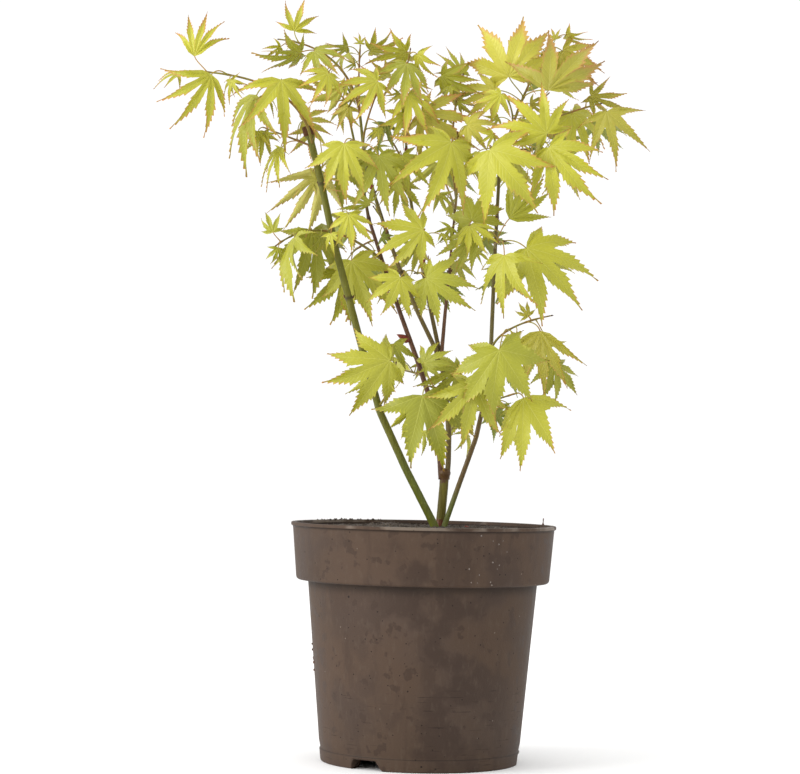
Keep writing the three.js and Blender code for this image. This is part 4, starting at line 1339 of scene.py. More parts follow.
    def teeth(self, outer: Array) -> tuple[Array, Array]:
        """How far each row's edge stands out and forward: every other row is a tooth's tip."""
        tip_row = (np.arange(len(outer)) - self.joined_rows) % 2 == 1
        toothed = np.clip((outer - self.tooth_from) * self.tooth_onset, 0, 1) * (outer < 1)
        bite = np.where(tip_row, 1.0, -self.tooth_dip) * toothed * self.tooth * (1 + outer)
        forward = self.tooth_forward * np.where(tip_row, 1.0, 0.0) * toothed / self.toothed_rows
        return bite, forward

    def edge(
        self, blade: Blade, lobes: Lobes, hand: int, shares: tuple[Array, Array], rib_rise: Array,
        uneven: Array,
    ) -> tuple[Array, Array]:
        """One edge of every lobe: on the line between two lobes, then free.

        Args:
            blade: The blade.
            lobes: Its lobes.
            hand: -1 for the edge before a lobe, 1 for the one after it.
            shares: Each row's shares of the way to the notch and on to the tip.
            rib_rise: How far the ribs stand out.
            uneven: Each tooth's size, as a share of its mean.

        Returns:
            The edge with its teeth and without them.
        """
        inner, outer = shares
        angle, depth, length, droop = lobes.lines[:, :-1] if hand < 0 else lobes.lines[:, 1:]
        half = np.abs(angle - lobes.angles)
        start_x = (depth * np.cos(half))[:, None]
        start_y = (depth * np.sin(half))[:, None]
        widening = smooth(outer / self.shoulder)
        fall = np.clip((1 - outer) / (1 - self.shoulder), 0, 1) ** self.taper
        width = (start_y * (1 - widening) + lobes.widths[:, None] * widening) * fall
        ahead = start_x + (lobes.lengths[:, None] - start_x) * outer
        bite, forward = self.teeth(outer)
        pushed = ahead + forward * lobes.lengths[:, None]
        spread = width * (1 + bite * uneven)
        axis, aside = lobes.axis[:, None], lobes.aside[:, None]
        plain = ahead[..., None] * axis + hand * width[..., None] * aside
        toothed = pushed[..., None] * axis + hand * spread[..., None] * aside
        line = np.stack([np.cos(angle), np.sin(angle)], axis=1)
        inside = (depth[:, None] * inner)[..., None] * line[:, None]
        share = (depth / length)[:, None] * inner
        joined = self.cupping * blade.size * inner + self.rise(
            angle[:, None], length[:, None], droop[:, None], share
        )
        parted = smooth(2 * outer)
        folded = rib_rise + self.fold * blade.cut.fold * width
        lift = (joined * (1 - parted) + folded * parted)[..., None]
        free = (outer > 0)[None, :, None]
        return tuple(
            np.concatenate([np.where(free, past, inside), lift], axis=-1) for past in (toothed, plain)
        )

    def blade_sheet(self, blade: Blade) -> tuple[Array, Array, Array]:
        """The upper face of a blade in its own axes.

        Args:
            blade: The blade.

        Returns:
            Its points (along, aside, rise), the pattern's values there, and how limp it is.
        """
        lobes = self.lobes(blade)
        step = np.arange(self.joined_rows + self.toothed_rows + 1)
        inner = np.clip(step / self.joined_rows, 0, 1)
        outer = np.clip((step - self.joined_rows) / self.toothed_rows, 0, 1)
        reach, rib = self.ribs(lobes, inner, outer)
        rng = np.random.default_rng(int(blade.seed))
        edges = [
            self.edge(
                blade, lobes, hand, (inner, outer), rib[..., 2],
                rng.uniform(*self.tooth_span, reach.shape),
            )
            for hand in (-1, 1)
        ]
        sheet = np.empty((*reach.shape, len(self.columns), 3))
        for c, column in enumerate(self.columns):
            share = abs(column)
            target = edges[0 if column < 0 else 1][0 if share == 1 else 1]
            sheet[:, :, c] = rib + (target - rib) * share
            bulge = 4 * share * (1 - share) * self.puff
            sheet[:, :, c, 2] += bulge * np.linalg.norm((target - rib)[..., :2], axis=-1)
        bend, offset = self.bend(blade, lobes, outer, sheet)
        full = np.broadcast_to(reach[..., None], offset.shape)
        edge_share = np.broadcast_to(np.abs(np.array(self.columns)), offset.shape)
        tip_share = np.broadcast_to(outer[None, :, None], offset.shape)
        tone = np.full(offset.shape, chance(blade.seed + 0.5))
        near, far = offset / self.pattern_unit, full / self.pattern_unit
        places = np.stack([near, far, edge_share, tip_share, tone], axis=-1)
        limp = self.limp[0] + self.limp[1] * bend[:, None, None] * smooth(outer)[None, :, None]
        return sheet, places, limp

    def bend(
        self, blade: Blade, lobes: Lobes, outer: Array, sheet: Array
    ) -> tuple[Array, Array]:
        """Sweeps the lobes' tips aside, waves their edges and twists them.

        Args:
            blade: The blade.
            lobes: Its lobes.
            outer: Each row's share of the way from the notch to the tip.
            sheet: The upper face, which is changed.

        Returns:
            Each lobe's sweep, from -1 to 1, and each point's distance aside.
        """
        count = range(len(lobes.angles))
        bend = np.array([swing(blade.seed + 11 * n) for n in count])
        side = (self.sweep * bend * lobes.lengths)[:, None] * outer**3
        sheet[..., :2] += side[..., None, None] * lobes.aside[:, None, None]
        phase = self.wave_turns * outer[None] + 6.3 * bend[:, None]
        wave = np.sin(phase) * outer * (1 - outer)
        tilt = np.array(self.columns) * np.abs(self.columns)
        sheet[..., 2] += self.wave * lobes.widths[:, None, None] * wave[..., None] * tilt
        turned = np.array([swing(blade.seed + 13 * n + 0.2) for n in count])
        offset = np.einsum("nrcx,nx->nrc", sheet[..., :2], lobes.aside)
        twisted = smooth(self.twist_onset * outer)[None, :, None]
        sheet[..., 2] += self.twist * turned[:, None, None] * twisted * (offset - side[..., None])
        return bend, offset

    def add_blade(self, parts: MeshParts, blade: Blade) -> None:
        """Adds one blade: its upper face, and its underside a little way beneath.

        The two faces share their free edges, so the blade is closed.

        Args:
            parts: What it is added to.
            blade: The blade.
        """
        sheet, places, limp = self.blade_sheet(blade)
        lobes, rows, columns, _ = sheet.shape
        gap = np.full(sheet.shape[:3], self.thickness)
        for shut in (
            np.s_[:, self.joined_rows :, 0], np.s_[:, self.joined_rows :, -1],
            np.s_[0, :, 0], np.s_[-1, :, -1], np.s_[:, 0], np.s_[:, -1],
        ):
            gap[shut] = 0
        along, aside, out = blade.axes()
        centre = blade.base + along * BLADE_NECK
        upper = sheet[..., :1] * along + sheet[..., 1:2] * aside + sheet[..., 2:] * out
        reach = np.maximum(np.linalg.norm(upper, axis=-1), 1e-6)
        level = np.clip(1 + upper[..., 2] / reach, 0, 1)
        upward = max(0.0, math.sin(math.radians(blade.bearing)))
        sag = self.sag * blade.cut.sag * (1 - self.upright_loss * upward)
        upper[..., 2] -= sag * limp * level * reach**2 / blade.size
        upper = upper + centre
        lower = upper - gap[..., None] * out

        one = grid_quads(rows, columns, False)
        starts = (np.arange(lobes) * rows * columns)[:, None, None]
        quads = (one[None] + starts).reshape(-1, 4)
        above = upper.reshape(-1, 3)
        faces = np.concatenate([quads[:, ::-1], quads + len(above)])
        numbers = np.repeat([0, 1], len(quads))
        both = np.concatenate([places, places]).reshape(-1, places.shape[-1])
        parts.add(np.concatenate([above, lower.reshape(-1, 3)]), faces, numbers, both)

    def grown_all(self, spray: Spray, order: int) -> list[tuple[Leaf, Blade]]:
        """The blades of a spray with its young leaves, of which the top has the most."""
        extra = self.front_shoots
        if spray.behind:
            extra = self.back_shoots
        elif twig_point(spray, 1.0)[2] > self.top_from:
            extra = self.top_shoots
        return grown(spray, order) + Shoots().grow(spray, order, extra)

    def build(self) -> None:
        """Adds every leaf and builds one piece for each tint."""
        blades = {tint: MeshParts() for tint in Tint}
        for order, spray in enumerate(SPRAYS):
            for _, blade in self.grown_all(spray, order):
                self.add_blade(blades[blade.tint], blade)
        for tint, parts in blades.items():
            replaced = [spray.name for spray in SPRAYS if spray.tint is tint]
            name = f"leaves_{tint.value}"
            piece = parts.make(name, LEAF_FINISHES[tint].materials(name))
            piece.data.set_sharp_from_angle(angle=math.radians(self.sharp))
            if replaced:
                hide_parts(*replaced)


# ------------------------ stems, twigs and stalks
@dataclass
class Stems:
    """The cane, the trunk, the stem, the boughs and the leaders, each with its bark.

    A limb is rings carried up its own line. Its radius tapers, swells at the joints,
    spreads at the soil and thickens at a fork; a ripple on top is the bark's relief.
    """

    ring_gap: float = 1.1
    sunk: float = 12.5
    inward: float = 0.28
    soil_sunk: float = 2.0
    thick_sides: int = 24
    thin_sides: int = 16
    joint_length: float = 1.5
    scar_length: float = 0.35
    flare_length: float = 3.5
    fork_below: float = 7.5
    fork_length: float = 5.0
    dome: float = 3.5
    relief: float = 0.03
    relief_pace: float = 0.35
    relief_waves: int = 5
    joint_facing: Pair = (0.65, 0.35)
    joint_turn: float = 3.1
    scar: float = 0.35
    smoothed: int = 5

    def radii(self, limb: Limb, shares: Array, turns: Array, seed: float) -> Array:
        """The radius of a limb round and up it.

        Args:
            limb: The limb.
            shares: The shares of its rise at which rings stand.
            turns: The angles round each ring.
            seed: What the bark's relief is drawn from.

        Returns:
            One radius for each ring and angle.
        """
        clipped = np.clip(shares, 0, 1)
        height = shares * limb.rise
        plain = limb.girth[0] + (limb.girth[1] - limb.girth[0]) * clipped
        joints = len(limb.lean)
        rise = limb.rise / joints
        nearest = np.round(shares * joints)
        away = (shares * joints - nearest) * rise
        plain_joints = (limb.plain_below - foot_height(limb)) / rise
        inside = (nearest > 0) & (nearest < joints) & (nearest > plain_joints)
        swollen = np.exp(-((away / self.joint_length) ** 2)) * inside
        scar = np.exp(-((away / self.scar_length) ** 2)) * inside
        plain = plain + limb.flare * np.exp(-np.maximum(height, 0) / self.flare_length)
        if limb.fork:
            over = (height - limb.rise + self.fork_below) / self.dome
            plain = plain + limb.fork * smooth(1 + over * self.dome / self.fork_length)
            plain = plain * np.sqrt(1 - np.clip(over, 0, 1) ** 2)
        if limb.knob:
            radius, length = limb.knob
            into = smooth(1 + 2 * (height - limb.rise + length) / length)
            plain = plain + (radius - limb.girth[1]) * into
        even, more = self.joint_facing
        facing = even + more * np.cos(2 * turns[None] + self.joint_turn * nearest[:, None])
        raised = swollen[:, None] * facing + self.scar * scar[:, None]
        full = plain[:, None] + limb.swell * raised
        along = height[:, None] * self.relief_pace
        bark = ripple(turns[None], along, self.relief_waves, seed)
        return full * (1 + self.relief * bark)

    def build_limb(self, name: str, limb: Limb, seed: float) -> None:
        """Builds one limb, from inside what it stands on to its tip."""
        down = self.soil_sunk if limb.base == "soil" else self.sunk
        low = -down / limb.rise
        top = self.dome - self.fork_below if limb.fork else 0.0
        count = int((limb.rise + down + top) / self.ring_gap)
        shares = np.linspace(low, 1.0 + top / limb.rise, count)
        sides = self.thick_sides if max(limb.girth) > 2.5 else self.thin_sides
        turns = round_turns(sides)
        path = limb_points(limb, shares)
        if limb.base != "soil":
            below = limb_point(LIMBS[limb.base], 1.0)
            sunken = np.clip(-shares * limb.rise / self.sunk, 0, 1)[:, None]
            path[:, :2] += self.inward * sunken * (below - path[0])[:2]
        kernel = np.ones(self.smoothed) / self.smoothed
        soft = np.stack([np.convolve(path[:, i], kernel, mode="same") for i in range(3)], axis=1)
        whole = slice(self.smoothed // 2, -(self.smoothed // 2))
        path[whole] = soft[whole]
        radii = self.radii(limb, shares, turns, seed)
        joints = np.where(path[:, 2] > limb.plain_below, shares * len(limb.lean), 0.5)
        slots = np.zeros(count, dtype=int)
        if limb.knob:
            slots[shares > 1 - (limb.knob[1] + 1) / limb.rise] = 1
        parts = MeshParts()
        add_tube(parts, path, radii, sides, slots, joints)
        finish = self.finish(name)
        piece = parts.make(f"{name}_bark", [finish.material(), CALLUS.material()])
        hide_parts(name)

    def finish(self, name: str) -> StemFinish:
        """The bark of a limb: green on the cane, olive on the trunk, brown above."""
        own = {
            "left_cane": CANE, "trunk": TRUNK, "right_stem": STEM,
            "bough_left": BROWN_BARK, "leader_back": BROWN_BARK,
        }
        return own.get(name, OLIVE_BARK)

    def build(self) -> None:
        """Builds every limb."""
        for order, (name, limb) in enumerate(LIMBS.items()):
            self.build_limb(name, limb, 3.7 * order + 1)


@dataclass
class Twigs:
    """The twigs of the sprays, the stalks of their leaves, and the buds.

    A twig follows its own bowed line from inside its limb; a stalk is a cubic curve that
    leaves the twig upwards and comes into its blade along the blade's length.
    """

    twig_sides: int = 8
    twig_rings: int = 12
    ring_gap: float = 1.6
    past_tip: float = 1.02
    slimness: Pair = (0.85, 0.4)
    node: float = 0.22
    node_length: float = 1.2
    stalk_sides: int = 6
    stalk_rings: int = 10
    stalk_radius: float = 0.42
    stalk_foot: float = 0.35
    foot_length: float = 1.5
    handles: Pair = (0.35, 0.8)
    arch: float = 0.1
    run_in: float = 0.06
    sunk: float = 0.4
    bud_length: float = 3.0
    bud_radius: float = 0.75
    bud_rings: int = 7
    bud_sides: int = 8
    bud_point: float = 0.02
    budded_rise: float = 60.0
    end_bud: float = 0.75

    def add_twig(self, parts: MeshParts, spray: Spray) -> None:
        """Adds one twig, swollen where its leaves stand."""
        length = float(np.linalg.norm(spray.reach))
        count = max(self.twig_rings, int(length / self.ring_gap))
        shares = np.linspace(0, self.past_tip, count)
        radii = twig_radius(spray) * (self.slimness[0] - self.slimness[1] * shares)
        for row in spray.leaves:
            away = (shares - row.on) * length
            radii = radii + self.node * np.exp(-((away / self.node_length) ** 2))
        radii[-1] *= 0.5
        add_tube(parts, twig_points(spray, shares), radii, self.twig_sides, 0, shares * 3)

    def add_stalk(self, parts: MeshParts, spray: Spray, row: Leaf, blade: Blade) -> None:
        """Adds the stalk of one leaf."""
        start = twig_point(spray, row.on)
        along, _, _ = blade.axes()
        length = float(np.linalg.norm(blade.base - start))
        lift = np.array([0.0, 0.0, self.arch * length])
        near, far = self.handles
        first = start + (blade.base - start) * near + lift
        second = start + (blade.base - start) * far + lift - along * self.run_in * length
        end = blade.base + along * (BLADE_NECK + self.sunk)
        share = np.linspace(0, 1, self.stalk_rings)[:, None]
        rest = 1 - share
        path = (rest**3 * start + 3 * rest**2 * share * first
                + 3 * rest * share**2 * second + share**3 * end)
        thick = self.stalk_radius * (0.8 + 0.006 * blade.size)
        radii = thick + self.stalk_foot * np.exp(-share[:, 0] * length / self.foot_length)
        add_tube(parts, path, radii, self.stalk_sides, 0, share[:, 0] * 3)

    def add_bud(self, parts: MeshParts, foot: Array, along: Array, scale: float) -> None:
        """Adds one pointed bud: its radius swells and runs out along its length."""
        share = np.linspace(0, 1, self.bud_rings)
        path = foot + share[:, None] * along * self.bud_length * scale
        radii = self.bud_radius * scale * np.sin(math.pi * (0.15 + 0.85 * share) ** 0.8)
        radii = np.maximum(radii, self.bud_point)
        add_tube(parts, path, radii, self.bud_sides, 0, share * 3)

    def add_joint_buds(self, parts: MeshParts) -> None:
        """Adds a pair of buds on opposite sides of every joint, turned from one to the next."""
        for order, limb in enumerate(LIMBS.values()):
            if limb.rise < self.budded_rise:
                continue
            joints = len(limb.lean)
            for i in range(1, joints):
                centre = limb_point(limb, i / joints)
                if centre[2] < limb.plain_below:
                    continue
                radius = limb.girth[0] + (limb.girth[1] - limb.girth[0]) * i / joints
                turn = 1.57 * i + 0.6 * swing(order + i)
                for hand in (-1, 1):
                    side = hand * heading(turn)
                    along = unit(0.55 * side + np.array([0.0, 0.0, 1.0]))
                    scale = 0.6 + 0.4 * chance(order * 7 + i + hand)
                    self.add_bud(parts, centre + side * (radius + 0.1), along, scale)

    def add_red_buds(self, parts: MeshParts) -> None:
        """Adds the clusters of red scales, each fanned out round its own direction."""
        for order, bud in enumerate(RED_BUDS):
            limb = LIMBS[bud.limb]
            share = (bud.height - foot_height(limb)) / limb.rise
            toward = unit(np.array(bud.toward))
            foot = limb_point(limb, share) + 0.6 * limb.girth[0] * toward
            for i in range(bud.count):
                turn = 2 * math.pi * i / bud.count + order
                spread = 0.35 * np.array([math.cos(turn), math.sin(turn), math.sin(2 * turn)])
                scale = bud.scale * (0.8 + 0.3 * swing(i + order))
                self.add_bud(parts, foot, unit(toward + spread), scale)

    def build(self, foliage: Foliage) -> None:
        """Builds the twigs, the stalks and the buds, each joined into one piece."""
        twigs, stalks, buds, red = MeshParts(), MeshParts(), MeshParts(), MeshParts()
        for order, spray in enumerate(SPRAYS):
            self.add_twig(twigs, spray)
            for row, blade in foliage.grown_all(spray, order):
                self.add_stalk(stalks, spray, row, blade)
            tip = twig_points(spray, np.array([0.97, 1.0]))
            self.add_bud(buds, tip[1], unit(tip[1] - tip[0]), self.end_bud)
        self.add_joint_buds(buds)
        self.add_red_buds(red)
        for name, parts, finish in (
            ("twigs", twigs, YOUNG_BARK), ("stalks", stalks, STALK), ("buds", buds, BUD),
            ("red_buds", red, RED_BUD),
        ):
            parts.make(name, [finish.material()])


# ------------------------ pot and soil
def rounded(corners: list[Triple], steps: int) -> Array:
    """An outline with its corners rounded.

    Each corner is cut back along both sides, and the cut is a curve that runs on into them.

    Args:
        corners: The radius, height and cut of each corner, in millimetres.
        steps: The points of a rounded corner.

    Returns:
        The outline's points.
    """
    places = np.array(corners)[:, :2]
    points = [places[:1]]
    share = np.linspace(0, 1, steps)[:, None]
    for i in range(1, len(corners) - 1):
        cut = corners[i][2]
        if cut == 0:
            points.append(places[i : i + 1])
            continue
        before = places[i] + unit(places[i - 1] - places[i]) * cut
        after = places[i] + unit(places[i + 1] - places[i]) * cut
        bow = 2 * share * (1 - share) * places[i]
        points.append((1 - share) ** 2 * before + bow + share**2 * after)
    points.append(places[-1:])
    return np.concatenate(points)


@dataclass
class Pot:
    """A round nursery pot: lip, collar, tapering body, foot ring with notches, drains.

    The shell is an outline turned about the upright axis. Its foot ring is lifted to the
    notch's height where a notch passes, upright on one side and bevelled on the other.
    """

    height: float = 170.0
    lip_radius: float = 95.3
    lip_thickness: float = 2.2
    collar_top_radius: float = 94.0
    collar_bottom_radius: float = 90.8
    collar_height: float = 41.0
    collar_rounding: float = 2.5
    body_top_radius: float = 82.4
    body_bottom_radius: float = 70.8
    seam_height: float = 9.0
    seam_depth: float = 0.6
    wall: float = 2.6
    floor_thickness: float = 3.0
    recess: tuple[float, float, float] = (24.0, 60.0, 6.5)
    notch: tuple[float, float, float] = (25.0, 7.0, 5.0)
    notch_bearings: tuple[float, ...] = (-122.0, -2.0, 118.0)
    drain_radius: float = 5.5
    drain_ring: float = 42.0
    drains: int = 6
    sides: int = 160
    tints: tuple[str, ...] = ("4d3d32", "45372c", "4b3f39", "352821")
    damp_middle: float = 14.0
    # The dark colour of the painted shade under the collar, under the lip and in the seam.
    damp_width: float = 60.0
    painted_shade: str = "1f1813"
    scratched_to: float = 0.35

    @property
    def step(self) -> float:
        """The height of the collar's lower edge."""
        return self.height - self.collar_height

    @property
    def lip(self) -> float:
        """The height of the lip's lower edge."""
        return self.height - self.lip_thickness

    def body_radius(self, height: float) -> float:
        """The outer radius of the tapering body at a height."""
        grow = self.body_top_radius - self.body_bottom_radius
        return self.body_bottom_radius + grow * height / self.step

    def wall_point(self, bearing: float, height: float) -> tuple[Array, Array]:
        """A point of the outer wall and the direction out of it."""
        out = heading(math.radians(bearing))
        radius = self.body_radius(height)
        if height >= self.step:
            grow = self.collar_top_radius - self.collar_bottom_radius
            radius = self.collar_bottom_radius + grow * (height - self.step) / self.collar_height
        return out * radius + np.array([0.0, 0.0, height]), out

    def outline(self) -> Array:
        """The pot's outline, from under its middle, out and up, and back inside."""
        inner, outer, recess = self.recess
        floor = recess + self.floor_thickness
        step, lip, seam = self.step, self.lip, self.seam_height
        corners = [
            (0, 0, 0),
            (inner, 0, 0.8),
            (inner + 1, recess, 0.8),
            (outer - 1, recess, 0.8),
            (outer, 0, 0.8),
            (self.body_radius(0), 0, 1.2),
            (self.body_radius(seam) + 0.1, seam - 0.5, 0.4),
            (self.body_radius(seam) - self.seam_depth, seam + 0.5, 0.4),
            (self.body_radius(seam + 6), seam + 6, 0.5),
            (self.body_top_radius, step, 1.5),
            (self.collar_bottom_radius, step, self.collar_rounding),
            (self.collar_top_radius, lip - 0.6, 0.7),
            (self.lip_radius, lip, 0.5),
            (self.lip_radius, self.height, 0.8),
            (self.collar_top_radius - self.wall, self.height, 0.8),
            (self.collar_bottom_radius - self.wall, step + self.wall, 1),
            (self.body_top_radius - self.wall, step + self.wall - 0.4, 1),
            (self.body_radius(floor) - self.wall, floor, 2),
            (0, floor, 0),
        ]
        return rounded(corners, 5)

    def turns(self) -> Array:
        """The angles of the upright cuts, with some set close beside the notches' sides."""
        even = round_turns(self.sides)
        width, _, bevel = self.notch
        beside = np.array([-width / 2 - 0.2, -width / 2 + 0.2, width / 2 - bevel, width / 2])
        middle = np.radians(np.array(self.notch_bearings))[:, None]
        extra = middle + np.arcsin(beside / self.body_bottom_radius)
        return np.unique(np.round(np.mod(np.concatenate([even, extra.ravel()]), 2 * math.pi), 5))

    def notch_height(self, radius: Array, turn: Array) -> Array:
        """How high the foot ring is lifted at places given by radius and turn."""
        width, height, bevel = self.notch
        lifted = np.zeros(np.broadcast(radius, turn).shape)
        for bearing in self.notch_bearings:
            aside = radius * np.sin(turn - math.radians(bearing))
            facing = np.cos(turn - math.radians(bearing)) > 0
            slope = np.clip((width / 2 - aside) / bevel, 0, 1)
            upright = np.clip((aside + width / 2) / 0.3, 0, 1)
            lifted = np.maximum(lifted, height * slope * upright * facing)
        return lifted

    def wetness(self, w: Wiring, across: Socket) -> Socket:
        """How damp the wall is: patches, spots and drips, most of them near its middle.

        Args:
            w: The material's wiring.
            across: The place across the pot.

        Returns:
            A mask of the damp places.
        """
        damp = w.mottle(34, 9, 0.47, 0.61)
        spots = w.mottle(110, 5, 0.57, 0.64)
        drips = w.mottle(60, 5, 0.52, 0.62, 5)
        aside = w.math("ABSOLUTE", w.math("SUBTRACT", across, self.damp_middle * MM))
        far = w.ramp(aside, 0.2 * self.damp_width * MM, self.damp_width * MM)
        most = w.scaled(far, -0.35, 0.65)
        wet = w.math("MAXIMUM", w.times(damp, most), w.times(spots, 0.55))
        return w.math("MAXIMUM", wet, w.times(drips, 0.4))

    def with_painted_shade(self, w: Wiring, base: object, up: Socket) -> Socket:
        """The colour with painted shade under the collar, under the lip and in the seam.

        Args:
            w: The material's wiring.
            base: The colour so far.
            up: The height.

        Returns:
            The colour, each band darker upwards to a sharp edge.
        """
        step, lip, seam = self.step, self.lip, self.seam_height
        # Painted shade: each band darkens up to a sharp edge above it, under the collar, under the
        # lip and at the seam.
        bands = ((step - 9, step, 0.6), (lip - 2.2, lip - 0.2, 0.7), (seam - 1, seam + 0.2, 0.5))
        for low, high, most in bands:
            painted_shade_mask = w.times(w.ramp(up, low * MM, high * MM), most)
            below = w.math("LESS_THAN", up, (high + 0.15) * MM)
            base = w.lay(base, painted_shade_mask, below, self.painted_shade)
        return base

    def finish(self) -> Material:
        """Matte moulded plastic with damp patches, drips and grit, painted shade in its corners and a
        painted highlight on the lip.
        """
        material, w, shader = start_material("moulded_plastic")
        across, _, up = w.place()
        tone = w.mottle(9, 2, 0.25, 0.75)
        greyed = w.mottle(17, 5, 0.4, 0.68)
        worn = w.mottle(330, 6, 0.52, 0.75, 2.5)
        grain = w.mottle(900, 2, 0.3, 0.7)
        grit = w.specks(250, 0.22, 0.13)
        lumps = w.specks(95, 0.12, 0.08)
        dust = w.specks(280, 0.025, 0.11)
        scratched = w.mottle(45, 2, 0.67, 0.7, 0.05)
        at_foot = w.math("LESS_THAN", up, self.scratched_to * self.height * MM)
        # Painted highlight: pale streaks on the lip's outer face, which is also made a little
        # glossier there.
        lip_highlight = w.mottle(26, 5, 0.5, 0.6)
        lip_highlight = w.times(lip_highlight, w.math("GREATER_THAN", up, (self.lip + 0.2) * MM))
        wet = self.wetness(w, across)
        base = w.mix(tone, colour(self.tints[0]), colour(self.tints[1]))
        base = w.lay(base, greyed, 0.5, self.tints[2])
        base = w.mix(wet, base, colour(self.tints[3]))
        base = w.lay(base, worn, 0.13, "64584c")
        # Painted shade under the collar, under the lip and in the seam.
        base = self.with_painted_shade(w, base, up)
        base = w.lay(base, w.times(scratched, at_foot), 0.6, "2a201a")
        # Painted highlight on the lip.
        base = w.lay(base, lip_highlight, 0.4, "8f8478")
        base = w.lay(base, w.math("MAXIMUM", grit, lumps), 0.75, "17100c")
        base = w.lay(base, dust, 0.5, "958a7c")
        rough = w.scaled(wet, -0.2, 0.6)
        rough = w.math("SUBTRACT", rough, w.times(lip_highlight, 0.2))
        dress(w, shader, base, w.scaled(grain, 0.05, rough), 0.14)
        height = w.scaled(lumps, 1.5, w.times(grain, 0.12))
        add_bump(w, shader, height, 0.6, 0.0004)
        return material

    def build(self) -> None:
        """Builds the pot's shell and cuts its drains."""
        outline = self.outline()
        turns = self.turns()
        radius = outline[:, :1] + 0 * turns
        height = outline[:, 1:] + 0 * turns
        warp = 0.22 * ripple(turns, np.zeros(1), 3, 5.0) * smooth(outline[:, 1:] / self.height)
        radius = radius + np.where(radius > self.recess[1], warp, 0)
        ring = (radius > self.recess[1] - 2) & (height < self.notch[1])
        lifted = np.maximum(height, self.notch_height(radius, turns[None]))
        height = np.where(ring, lifted, height)
        parts = MeshParts()
        parts.add_turned(radius, height, turns, height)
        shell = parts.make("pot_shell", [self.finish()])
        self.cut_drains(shell)
        shell.data.set_sharp_from_angle(angle=math.radians(38))
        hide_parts("pot")

    def cut_drains(self, shell: Piece) -> None:
        """Cuts round holes through the pot's floor."""
        cutters = MeshParts()
        for i in range(self.drains):
            angle = math.radians(30 + i * 360 / self.drains)
            out = heading(angle)
            path = self.drain_ring * out + np.array([[0, 0, 3], [0, 0, 9], [0, 0, 15.0]])
            add_tube(cutters, path, np.full(3, self.drain_radius), 24, 0, np.arange(3.0))
        tool = cutters.make("drain_cutter", [shell.data.materials[0]])
        cut = shell.modifiers.new("drains", "BOOLEAN")
        cut.object = tool
        cut.solver = "EXACT"
        cut.operation = "DIFFERENCE"
        bpy.context.view_layer.update()
        ready = shell.evaluated_get(bpy.context.evaluated_depsgraph_get())
        mesh = bpy.data.meshes.new_from_object(ready)
        shell.modifiers.clear()
        shell.data = mesh
        bpy.data.objects.remove(tool)


